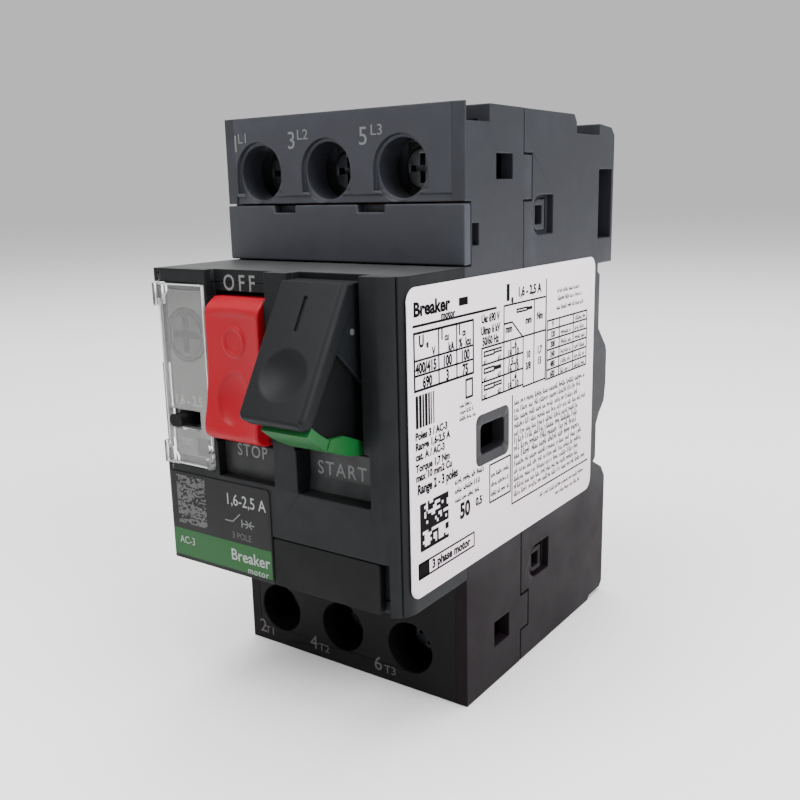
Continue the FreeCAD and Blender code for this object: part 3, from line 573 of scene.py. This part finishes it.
def recess_floors():
    """Painted light: paler floors of the finger recesses under STOP and START, as skins on the plate, lifting
    their shade.
    """
    skin = 0.006 * MM
    for name, material, x0, x1, floor_line in (
        ("stop", stop_recess_painted_light_material, stop_low.x + 0.1 * MM, 0.1 * MM, [(1.6, -4.4), (1.6, -9.3)]),
        ("start", start_recess_painted_light_material, start_low.x + 0.1 * MM, 17.2 * MM,
         [(3.0, -3.6), (3.0, -7.6), (2.43, -9.6)]),
    ):
        behind = [(nose_front + depth * MM, z * MM) for depth, z in floor_line]
        outline = behind + [(y - skin, z) for y, z in reversed(behind)]
        shape = prism(bmesh.new(), outline, RIGHT * x0, BACK, UP, RIGHT, x1 - x0)
        add_object(f"{name}_recess_floor", mesh_of(f"{name}_recess_floor", shape), material, "housing",
                   smooth=False)


def print_film():
    """The front film: a block pattern, the current range, a switch symbol and a green band."""
    film = front_surface(film_low.y)
    low, high = film_low.z + 0.12 * MM, film_high.z
    left, right = film_low.x + 0.15 * MM, film_high.x - 0.15 * MM
    film.bar(green_film_material, left, right, low, high - 9.4 * MM)
    film.cells(dim_ink_material, left + 1.3 * MM, left + 7.6 * MM, high - 8.4 * MM, high - 0.5 * MM,
               29, 33, 0.6)
    text_left, middle = left + 11.6 * MM, left + 16.0 * MM
    film.words(pale_ink_material, "1,6-2,5 A", middle, high - 2.7 * MM, 1.75 * MM, 0.88, 0.0)
    symbol = high - 6.1 * MM
    for u0, v0, u1, v1 in (
        (0.0, 0.0, 1.6, 0.0), (1.6, 0.0, 3.2, 1.4), (3.5, 0.0, 6.0, 0.0),
        (4.3, 0.6, 5.5, -0.6), (4.3, -0.6, 5.5, 0.6),
    ):
        film.line(grey_ink_material, (text_left + u0 * MM, symbol + v0 * MM),
                  (text_left + u1 * MM, symbol + v1 * MM), 0.17 * MM)
    film.bar(grey_ink_material, text_left + 3.4 * MM, text_left + 3.6 * MM,
             symbol - 0.6 * MM, symbol + 0.6 * MM)
    film.words(dim_ink_material, "3 POLE", text_left + 3.3 * MM, high - 8.3 * MM, 1.0 * MM, 0.9)
    film.finish("film_print", "housing", "front_print")
    over_band = Surface(RIGHT, UP, -BACK, -film_low.y, 0.035 * MM)
    over_band.words(pale_ink_material, "AC-3", left + 2.9 * MM, high - 11.3 * MM, 1.2 * MM, 0.9)
    over_band.words(pale_ink_material, "Breaker", right - 4.4 * MM, high - 11.5 * MM, 1.75 * MM, 0.98, 0.015)
    over_band.words(pale_ink_material, "motor", right - 2.9 * MM, high - 13.4 * MM, 1.05 * MM, spacing=1.1)
    over_band.finish("band_print", "housing", "front_print")


def print_panel():
    """The setting panel's scale numbers and small mark, under the clear cover."""
    panel_low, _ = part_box("setting_panel")
    panel = front_surface(panel_low.y)
    panel.words(pale_ink_material, "1,6 - 2,5", -17.3 * MM, 1.2 * MM, 1.5 * MM, 0.85, 0.03)
    panel.bar(lever_material, -15.9 * MM, -13.1 * MM, -7.2 * MM, -4.4 * MM)
    panel.words(pale_ink_material, "TEST", -18.2 * MM, -5.4 * MM, 1.0 * MM, 0.85, 0.02)
    panel.finish("panel_print", "housing", "grey_plastic")


def print_dial():
    """Painted shade: dark sheets on the floor of the dial's cross slot."""
    x, z = (dial_low.x + dial_high.x) / 2, (dial_low.z + dial_high.z) / 2
    reach, half = 2.6 * MM, 0.52 * MM
    slot = front_surface(nose_front + 1.6 * MM)
    slot.bar(film_material, x - reach, x + reach, z - half, z + half)
    slot.bar(film_material, x - half, x + half, z + half, z + reach)
    slot.bar(film_material, x - half, x + half, z - reach, z - half)
    slot.finish("dial_slot_painted_shade", "dial", "grey_plastic")


def print_rating_label():
    """The rating label: ruled tables, ratings, strokes for small print and plain blocks for marks."""
    label = side_surface(label_high.x)
    front, top = label_low.y, label_high.z

    def u(value):
        return front + value * MM

    def v(value):
        return top - value * MM

    ink = ink_material
    hair, rule = 0.28 * MM, 0.34 * MM

    def words(text, across, down, height, squeeze=0.85, align="CENTER"):
        label.words(ink, text, u(across), v(down), height * MM, squeeze, 0.06, align)

    def across_rule(a0, a1, down, width=hair):
        label.bar(ink, u(a0), u(a1), v(down), v(down) + width)

    def down_rule(across, d0, d1, width=hair):
        label.bar(ink, u(across), u(across) + width, v(d1), v(d0))

    def strokes(a0, a1, down, height, shade=ink):
        label.small_print(shade, u(a0), u(a1), v(down), height * MM)

    # heading
    words("Breaker", 1.4, 3.0, 1.75, 1.08, "LEFT")
    words("motor", 8.0, 4.4, 0.95, 1.0, "LEFT")
    label.bar(ink, u(12.6), u(15.0), v(3.6), v(2.5))
    across_rule(1.2, 23.2, 5.2, rule)

    # breaking capacity table
    label.frame_box(ink, u(1.3), u(16.6), v(13.7), v(5.8), rule)
    for down in (9.7, 11.7):
        across_rule(1.3, 16.6, down)
    for across in (7.2, 11.8):
        down_rule(across, 5.8, 13.7)
    for text, across, down, height in (
        ("U", 3.2, 7.2, 1.5), ("e", 4.6, 7.7, 1.0), ("V", 6.1, 8.9, 1.1),
        ("I", 8.2, 6.9, 1.5), ("cu", 9.4, 7.4, 1.0), ("kA", 10.5, 8.9, 1.15),
        ("I", 12.7, 6.9, 1.5), ("cs", 13.9, 7.4, 1.0), ("%", 13.0, 8.8, 1.15), ("Icu", 15.0, 8.8, 1.15),
        ("400/415", 4.25, 10.7, 1.35), ("100", 9.5, 10.7, 1.4), ("100", 14.2, 10.7, 1.4),
        ("690", 4.5, 12.7, 1.35), ("3", 9.5, 12.7, 1.4), ("75", 14.2, 12.7, 1.4),
    ):
        words(text, across, down, height, 0.78)

    # current range and ratings
    words("I", 26.7, 3.3, 2.3, 1.5)
    words("e", 28.0, 4.3, 1.2)
    words("1,6 - 2,5 A", 33.7, 3.5, 1.35, 0.95)
    for text, down in (("Ue: 690 V", 6.3), ("Uimp 6 kV", 8.0), ("50/60 Hz", 9.6)):
        words(text, 21.4, down, 1.15, 0.78)

    # conductor table
    for down in (10.6, 13.1, 15.6, 18.2):
        across_rule(18.7, 31.5, down)
    across_rule(25.3, 39.3, 5.2)
    across_rule(25.3, 28.2, 7.9)
    label.line(ink, (u(28.2), v(7.9)), (u(31.5), v(10.5)), hair)
    across_rule(31.5, 39.3, 10.6)
    across_rule(31.5, 39.3, 18.6)
    down_rule(18.7, 10.6, 18.2)
    down_rule(25.3, 5.2, 18.2)
    down_rule(31.5, 10.6, 18.6)
    for across in (35.2, 39.3):
        down_rule(across, 5.2, 18.6)
    for row, down in enumerate((10.6, 13.1, 15.6)):
        label.frame_box(ink, u(19.4), u(22.6), v(down + 1.25), v(down + 0.35), hair)
        if row == 1:
            label.bar(ink, u(22.6), u(24.6), v(down + 1.1), v(down + 0.5))
        else:
            across_rule(22.6, 24.8, down + 0.65)
            across_rule(22.6, 24.8, down + 1.1)
        words("x1", 19.8, down + 2.0, 0.75)
        words("x2", 24.0, down + 2.0, 0.75)
    for text, across, down in (
        ("1...6", 28.4, 11.35), ("18...10", 28.4, 12.55), ("1,5...6", 28.4, 13.85), ("16...10", 28.4, 15.0),
        ("1...4", 28.4, 16.4), ("18...10", 28.4, 17.6), ("10", 33.4, 13.6), ("3/8", 33.4, 15.4),
        ("1,7", 37.3, 13.4), ("15", 37.3, 15.2), ("mm", 33.4, 8.1), ("Nm", 37.3, 7.9), ("mm", 27.0, 8.7),
    ):
        words(text, across, down, 1.1, 0.85)
    label.frame_box(ink, u(29.4), u(33.0), v(6.6), v(5.9), hair)
    label.bar(ink, u(33.0), u(34.6), v(6.5), v(6.0))
    down_rule(39.4, 2.2, 19.0)

    # voltage table
    label.frame_box(ink, u(39.9), u(55.8), v(18.9), v(9.0), hair)
    for across in (44.4, 49.9):
        down_rule(across, 9.0, 18.9)
    for row, text in enumerate(("V", "120", "208", "240", "480", "600")):
        down = 9.9 + row * 1.65
        words(text, 42.1, down, 0.95, 0.8)
        if row:
            across_rule(39.9, 55.8, down - 0.75)
            strokes(45.2, 49.2, down + 0.4, 0.9, faint_ink_material)
        strokes(50.7, 55.0, down + 0.4, 0.9, faint_ink_material)
    for down, start in ((4.9, 43.6), (6.2, 43.8), (7.7, 43.4)):
        strokes(start, start + 4.4 + down * 0.9, down, 0.85, faint_ink_material)

    # bar pattern and lines of print at the front
    across = 1.6
    while across < 6.3:
        width = chance.choice((0.25, 0.4, 0.6))
        label.bar(ink, u(across), u(across + width), v(18.6), v(14.2))
        across += width + chance.choice((0.2, 0.35, 0.5))
    label.frame_box(ink, u(14.2), u(16.3), v(17.0), v(14.1), rule)
    for row, length in enumerate((4.2, 4.8, 5.6)):
        strokes(12.6, 12.6 + length * 0.8, 18.0 + row * 0.95, 0.65)
    for text, down in (("Poles 3 / AC-3", 19.7), ("Range 1,6-2,5 A", 21.1), ("cat. A / AC-3", 22.5),
                       ("Torque 1,7 Nm", 24.1), ("max 10 mm2 Cu", 25.4)):
        words(text, 1.4, down, 1.0, 0.92, "LEFT")
    words("Range 2 - 3 poles", 1.7, 27.1, 1.3, 0.78, "LEFT")
    label.bar(ink, u(2.2), u(2.8), v(36.0), v(29.2))
    label.bar(ink, u(2.8), u(9.4), v(36.0), v(35.5))
    label.cells(ink, u(2.8), u(9.4), v(35.5), v(29.2), 15, 14, 0.5)
    for row in range(3):
        strokes(11.2, 19.6 - row * 0.8, 28.9 + row * 1.35, 0.95 - 0.1 * row)
    words("50", 13.9, 33.4, 2.2, 0.9)
    words("0,5", 17.9, 33.2, 1.2, 0.9)
    label.frame_box(ink, u(21.0), u(27.8), v(34.6), v(28.4), hair)
    for row in range(3):
        strokes(21.6, 27.2, 30.6 + row * 1.5, 0.8)

    # instructions at the rear
    down_rule(28.1, 19.1, 36.8)
    across_rule(28.1, 57.4, 36.9)
    bold_rows = (5, 6, 7)
    for row in range(13):
        height = 1.2 if row in bold_rows else 1.0
        line_end = 56.4 - chance.uniform(0.0, 5.0)
        strokes(28.9, line_end, 20.9 + row * 1.24, height, faint_ink_material)
    strokes(38.0, 55.5, 38.5, 0.8, faint_ink_material)
    strokes(44.0, 54.0, 39.8, 0.8, faint_ink_material)

    # framed strip at the foot
    label.frame_box(ink, u(1.6), u(16.6), v(39.9), v(37.5), hair)
    label.bar(ink, u(1.6), u(4.3), v(39.9), v(37.5))
    words("3 phase motor", 5.0, 38.7, 1.25, 0.95, "LEFT")
    label.finish("label_print", "housing", "label_white")


print_terminal_numbers()
print_front()
recess_floors()
print_film()
print_panel()
print_dial()
print_rating_label()


# ---- START lever --------------------------------------------------------------------------
def start_cap():
    """The lever's cap: a slab with a rounded rim, an engraved stroke and a thumb hollow."""
    face_top = mm(0, -65.1, 20.7)
    face_tip = mm(0, -74.8, 3.8)
    run = face_tip - face_top
    length = run.length
    down = run.normalized()
    outward = Vector((0, down.z, -down.y))
    slab = 3.2 * MM
    rim, side_rim, top_rim = 0.55 * MM, 0.9 * MM, 0.25 * MM
    corner = 1.1 * MM
    centre_x = (start_low.x + start_high.x) / 2
    half = (start_high.x - start_low.x) / 2
    stroke_half, stroke_top, stroke_end = 0.26 * MM, 2.3 * MM, 7.1 * MM
    edge_lines = [radius * share for radius in (rim, side_rim, top_rim) for share in RIM_SHARES]
    slot_lines = [stroke_half, stroke_half + 0.12 * MM]
    across = lines_between(-half, half, 0.2 * MM,
                           [side * (half - line) for side in (-1, 1) for line in edge_lines]
                           + [side * line for side in (-1, 1) for line in slot_lines])
    along = lines_between(0, length, 0.2 * MM,
                          edge_lines + [length - line for line in edge_lines]
                          + [stroke_top, stroke_top - 0.12 * MM, stroke_end, stroke_end + 0.12 * MM])
    hollow_centre, hollow_half = (0.1 * MM, length * 0.67), (3.8 * MM, 3.5 * MM)

    def height(u, v):
        drop = rounded_drop(min(half + u, length - v), rim)
        drop = max(drop, rounded_drop(half - u, side_rim), rounded_drop(v, top_rim))
        if abs(u) <= stroke_half and stroke_top <= v <= stroke_end:
            drop += 0.35 * MM
        radial = math.hypot((u - hollow_centre[0]) / hollow_half[0], (v - hollow_centre[1]) / hollow_half[1])
        if radial < 1:
            drop += 0.8 * MM * (1 - radial ** 2)
        crown = 0.25 * MM * (1 - (u / half) ** 2)
        return crown - 0.25 * MM - drop

    def rounded_plan(u, v):
        """The place with the cap's lower corners rounded in plan."""
        beyond_side, beyond_end = abs(u) - (half - corner), v - (length - corner)
        if beyond_side <= 0 or beyond_end <= 0:
            return u, v
        shrink = max(beyond_side, beyond_end) / math.hypot(beyond_side, beyond_end)
        return math.copysign(half - corner + beyond_side * shrink, u), length - corner + beyond_end * shrink

    def outer(u, v):
        rise = height(u, v)
        u, v = rounded_plan(u, v)
        return face_top + RIGHT * (centre_x + u) + down * v + outward * rise

    def inner(u, v):
        """The back is thinner towards the tip, and its top edge is level with the front's."""
        u, v = rounded_plan(u, v)
        share = v / length
        place = face_top + RIGHT * (centre_x + u) - outward * slab * (1 - 0.35 * share)
        return place + down * (v - 1.6 * MM * (1 - share))

    mesh = closed_sheet("start_cap", across, along, outer, inner)
    cap = add_object("start_cap", mesh, lever_material, "start")
    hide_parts("start_lever")
    return face_top, down, outward, length, slab


def start_cheeks(face_top, down, outward, length, slab):
    """Side cheeks behind the cap, sector plates below them darkened partly as painted shade, the web between
    and a side nub.
    """
    def on_face(share, behind):
        point = face_top + down * (length * share) - outward * behind
        return (point.y, point.z)

    pivot = mm(0, -59.6, 17.8)
    reach = 19.2 * MM
    upper = [on_face(0.02, 1.2 * MM), on_face(0.45, 1.2 * MM), on_face(0.45, slab),
             (-61.6 * MM, 6.9 * MM), (-59.6 * MM, 9.0 * MM), (-59.6 * MM, 18.6 * MM), (-61.0 * MM, 19.9 * MM)]
    lower = [on_face(0.3, slab - 0.2 * MM), on_face(0.97, slab - 0.2 * MM)]
    for degrees in range(-34, 3, 4):
        angle = math.radians(degrees)
        lower.append((pivot.y + reach * math.sin(angle), pivot.z - reach * math.cos(angle)))
    lower.append((pivot.y + 1.2 * MM, pivot.z - 2.0 * MM))
    web = [on_face(0.05, slab - 0.1 * MM), on_face(0.95, slab - 0.1 * MM), (-62.6 * MM, -0.4 * MM),
           (-61.2 * MM, 12.0 * MM)]
    inset, cheek, sector = 0.06 * MM, 2.2 * MM, 1.5 * MM
    shaded, whole, knob = bmesh.new(), bmesh.new(), bmesh.new()

    def add_piece(name, shape, material, edge=0.12 * MM):
        bmesh.ops.recalc_face_normals(shape, faces=shape.faces)
        bevel_mesh(shape, edge)
        add_object(name, mesh_of(name, shape), material, "start", smooth=False)

    for outline, start, thickness in (
        (lower, start_low.x + 0.7 * MM, sector), (lower, start_high.x - 0.7 * MM - sector, sector),
        (web, start_low.x + cheek, start_high.x - start_low.x - 2 * cheek),
    ):
        prism(shaded, outline, RIGHT * start, BACK, UP, RIGHT, thickness)
    # sector plates and web in black plastic: their own dark colour, partly painted shade
    add_piece("start_sectors", shaded, black_material)
    for start in (start_low.x + inset, start_high.x - inset - cheek):
        prism(whole, upper, RIGHT * start, BACK, UP, RIGHT, cheek)
    nub_y, nub_z, nub_radius = -63.9 * MM, 14.2 * MM, 0.42 * MM
    turns = [corner * math.pi / 8 for corner in range(16)]
    nub = [(nub_y + nub_radius * math.cos(turn), nub_z + nub_radius * math.sin(turn)) for turn in turns]
    prism(knob, nub, RIGHT * (start_high.x - inset), BACK, UP, RIGHT, 0.2 * MM)
    add_piece("start_nub", knob, nub_material, 0.05 * MM)
    add_piece("start_cheeks", whole, lever_material)


start_cheeks(*start_cap())


# ---- STOP button --------------------------------------------------------------------------
def stop_cap():
    """The STOP button: a saddle-shaped face with a raised ring and a thumb hollow."""
    profile = [(-62.3, 17.5), (-63.3, 16.9), (-64.15, 16.1), (-64.45, 15.3), (-64.5, 14.4), (-64.5, 11.0),
               (-64.55, 7.5), (-64.8, 4.9), (-65.15, 2.5), (-65.55, 0.6), (-65.85, -0.9), (-65.85, -1.9),
               (-65.5, -2.6), (-64.6, -3.2), (-63.3, -3.5)]
    points = [Vector((y * MM, z * MM)) for y, z in profile]
    lengths = [0.0]
    for here, there in zip(points, points[1:]):
        lengths.append(lengths[-1] + (there - here).length)
    total = lengths[-1]
    half = (stop_high.x - stop_low.x) / 2
    centre_x = (stop_high.x + stop_low.x) / 2
    rim = 0.4 * MM

    def on_profile(v):
        """Point and outward normal on the side profile, by a smooth curve through its points."""
        v = min(max(v, 0.0), total)
        index = max(i for i in range(len(lengths) - 1) if lengths[i] <= v + 1e-12)
        before, after = points[max(index - 1, 0)], points[min(index + 2, len(points) - 1)]
        here, there = points[index], points[index + 1]
        share = (v - lengths[index]) / (lengths[index + 1] - lengths[index])
        slope_here = (there - before) * 0.5 if index > 0 else (there - here)
        slope_there = (after - here) * 0.5 if index + 2 < len(points) else (there - here)
        s2, s3 = share ** 2, share ** 3
        place = (here * (2 * s3 - 3 * s2 + 1) + slope_here * (s3 - 2 * s2 + share)
                 + there * (3 * s2 - 2 * s3) + slope_there * (s3 - s2))
        run = (here * (6 * s2 - 6 * share) + slope_here * (3 * s2 - 4 * share + 1)
               + there * (6 * share - 6 * s2) + slope_there * (3 * s2 - 2 * share))
        run.normalize()
        return place, Vector((run.y, -run.x))

    edge_lines = [side * (half - rim * share) for side in (-1, 1) for share in RIM_SHARES]
    step = 0.16 * MM
    across = lines_between(-half, half, step, edge_lines)
    along = lines_between(0, total, step)
    ring_z, ring_radius, ring_width = 11.35 * MM, 1.9 * MM, 0.28 * MM
    hollow_z, hollow_half = 3.2 * MM, (3.1 * MM, 3.8 * MM)
    back = -59.2 * MM

    def outer(u, v):
        place, normal = on_profile(v)
        face = smooth_step(min(v - 3.0 * MM, total - 3.4 * MM - v) / (2.5 * MM) + 0.5)
        shift = -rounded_drop(half - abs(u), rim)
        shift -= 0.55 * MM * face * (1 - (u / half) ** 2)
        z = place.y
        radial = math.hypot(u, (z - ring_z) * 0.96)
        shift += 0.24 * MM * smooth_step(1.5 - abs(radial - ring_radius) / ring_width)
        hollow = math.hypot(u / hollow_half[0], (z - hollow_z) / hollow_half[1])
        if hollow < 1:
            shift -= 0.8 * MM * (1 - hollow ** 2) ** 0.52
        return Vector((centre_x + u, place.x + normal.x * shift, place.y + normal.y * shift))

    def inner(u, v):
        place, _ = on_profile(v)
        return Vector((centre_x + u, back, place.y))

    mesh = closed_sheet("stop_cap", across, along, outer, inner)
    cap = add_object("stop_cap", mesh, red_material, "stop")
    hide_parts("stop_button")


stop_cap()


# ---- wound springs in place of the CAD springs ----------------------------------------------
def wound_spring(node, axis, moving_end, turns, wire):
    """Stands in for a CAD spring: a coil of wire between its ends, baked in place."""
    low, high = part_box(node)
    middle = (low + high) / 2
    start, end = middle.copy(), middle.copy()
    start[axis], end[axis] = low[axis] + wire, high[axis] - wire
    one, other = (axis + 1) % 3, (axis + 2) % 3
    directions = (RIGHT, BACK, UP)
    radius = (high[other] - low[other]) / 2 - wire
    around, steps = 10, turns * 28
    points, faces = [], []
    for step in range(steps + 1):
        share = step / steps
        angle = 2 * math.pi * turns * share
        radial = directions[one] * math.cos(angle) + directions[other] * math.sin(angle)
        centre = start.lerp(end, share) + radial * radius
        for spoke in range(around):
            turn = 2 * math.pi * spoke / around
            points.append(centre + (radial * math.cos(turn) + directions[axis] * math.sin(turn)) * wire)
    for step in range(steps):
        for spoke in range(around):
            here, there = step * around + spoke, step * around + (spoke + 1) % around
            faces.append((here, there, there + around, here + around))
    faces.append(tuple(range(around)))
    faces.append(tuple(reversed(range(steps * around, (steps + 1) * around))))
    mesh = bpy.data.meshes.new(f"{node}_wire")
    mesh.from_pydata([tuple(point) for point in points], [], faces)
    shape = bmesh.new()
    shape.from_mesh(mesh)
    bpy.data.meshes.remove(mesh)
    piece_mesh = mesh_of(f"{node}_wire", shape)
    piece_mesh.polygons.foreach_set("use_smooth", [True] * len(piece_mesh.polygons))
    piece_mesh.materials.append(spring_material)
    piece = add_to_scene(f"{node}_wire", piece_mesh)
    ends = (start, end) if moving_end == "high" else (end, start)
    tuple(ends[0])
    tuple(ends[1])
    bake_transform(piece)
    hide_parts(node)


wound_spring("test_spring", 0, "low", 6, 0.18 * MM)
wound_spring("rail_clip_spring", 2, "high", 6, 0.3 * MM)


# ---- clear cover's edges, painted highlight -----------------------------------------------
def cover_edge_highlights():
    """Thin pale strips, painted highlight where the clear cover's cut edges catch the light."""
    shape = bmesh.new()
    width, proud = 0.14 * MM, 0.03 * MM
    front_level = nose_front - 0.3 * MM
    sheet_left, sheet_right = cover_low.x + 0.9 * MM, cover_high.x
    bottom, top = cover_low.z + 1.45 * MM, cover_high.z - 1.45 * MM
    notch_low, notch_high = -6.4 * MM, -5.0 * MM
    strips = [
        (sheet_right - width, sheet_right + proud, bottom + 1.7 * MM, notch_low),
        (sheet_right - width, sheet_right + proud, notch_high, top),
        (sheet_left, sheet_right - 1.0 * MM, bottom - proud, bottom + width),
        (sheet_left, sheet_right, top - width, top + proud),
        (sheet_left, sheet_left + width, bottom + 2.2 * MM, top - 2.2 * MM),
    ]
    for x0, x1, z0, z1 in strips:
        outline = [(x0, z0), (x1, z0), (x1, z1), (x0, z1)]
        prism(shape, outline, BACK * (front_level - proud), RIGHT, UP, BACK, 0.9 * MM + 2 * proud)
    bevel_mesh(shape, 0.05 * MM)
    add_object("cover_edge_highlights", mesh_of("cover_edge_highlights", shape), cover_edge_highlight_material, "cover",
               smooth=False)


cover_edge_highlights()


# ---- floor, light and camera --------------------------------------------------------------
def plain_material(name, colour, roughness):
    return Look(name).finish({"Base Color": (*colour, 1.0), "Roughness": roughness})


def backdrop():
    """A floor of pale paper that curves up all round."""
    level, flat, sweep = floor_level - 0.1 * MM, 3.0, 3.0
    around, rises, steepest = 96, 16, 60
    rings = [(flat, level)]
    for step in range(1, rises + 1):
        angle = math.radians(steepest * step / rises)
        rings.append((flat + sweep * math.sin(angle), level + sweep * (1 - math.cos(angle))))
    points = [(0.0, 0.0, level)]
    for radius, z in rings:
        for spoke in range(around):
            turn = 2 * math.pi * spoke / around
            points.append((radius * math.cos(turn), radius * math.sin(turn), z))
    faces = [(0, 1 + spoke, 1 + (spoke + 1) % around) for spoke in range(around)]
    for ring in range(rises):
        for spoke in range(around):
            here = 1 + ring * around + spoke
            there = 1 + ring * around + (spoke + 1) % around
            faces.append((here, here + around, there + around, there))
    mesh = bpy.data.meshes.new("floor")
    mesh.from_pydata(points, [], faces)
    mesh.polygons.foreach_set("use_smooth", [True] * len(mesh.polygons))
    mesh.materials.append(plain_material("floor_paper", (0.78, 0.78, 0.78), 0.7))
    floor = add_to_scene("floor", mesh)


def studio():
    """White surroundings and three soft lights."""
    world = bpy.data.worlds.new("studio")
    world.use_nodes = True
    background = world.node_tree.nodes["Background"].inputs
    background["Color"].default_value = (1.0, 1.0, 1.0, 1.0)
    background["Strength"].default_value = 0.85
    bpy.context.scene.world = world
    for name, place, size, power, warmth in (
        ("key", (-0.20, -0.45, 0.60), 0.45, 4.8, (1.0, 0.98, 0.96)),
        ("side", (0.62, -0.10, 0.38), 0.5, 7.5, (0.97, 0.98, 1.0)),
        ("top", (0.0, 0.02, 0.7), 0.6, 9.0, (1.0, 1.0, 1.0)),
    ):
        data = bpy.data.lights.new(name, "AREA")
        data.size, data.energy, data.color = size, power, warmth
        light = add_to_scene(name, data)
        light.location = place
        aim = Vector((0, -0.02, 0)) - light.location
        light.rotation_euler = aim.to_track_quat("-Z", "Y").to_euler()


def camera():
    """The view from the front right, a little above the object's middle."""
    azimuth, elevation, roll = math.radians(-35.13), math.radians(-12.77), math.radians(-1.26)
    forward = Vector((math.sin(azimuth) * math.cos(elevation), math.cos(azimuth) * math.cos(elevation),
                      math.sin(elevation)))
    level = forward.cross(UP).normalized()
    upright = level.cross(forward)
    right = level * math.cos(roll) + upright * math.sin(roll)
    up = upright * math.cos(roll) - level * math.sin(roll)
    data = bpy.data.cameras.new("camera")
    data.lens, data.sensor_width = 41.6, 36.0
    data.clip_start, data.clip_end = 0.01, 20.0
    view = add_to_scene("camera", data)
    view.matrix_world = Matrix.Translation(mm(88.2, -156.8, 31.8)) @ Matrix(
        (right, up, -forward)).transposed().to_4x4()
    bpy.context.scene.camera = view


backdrop()
studio()
camera()
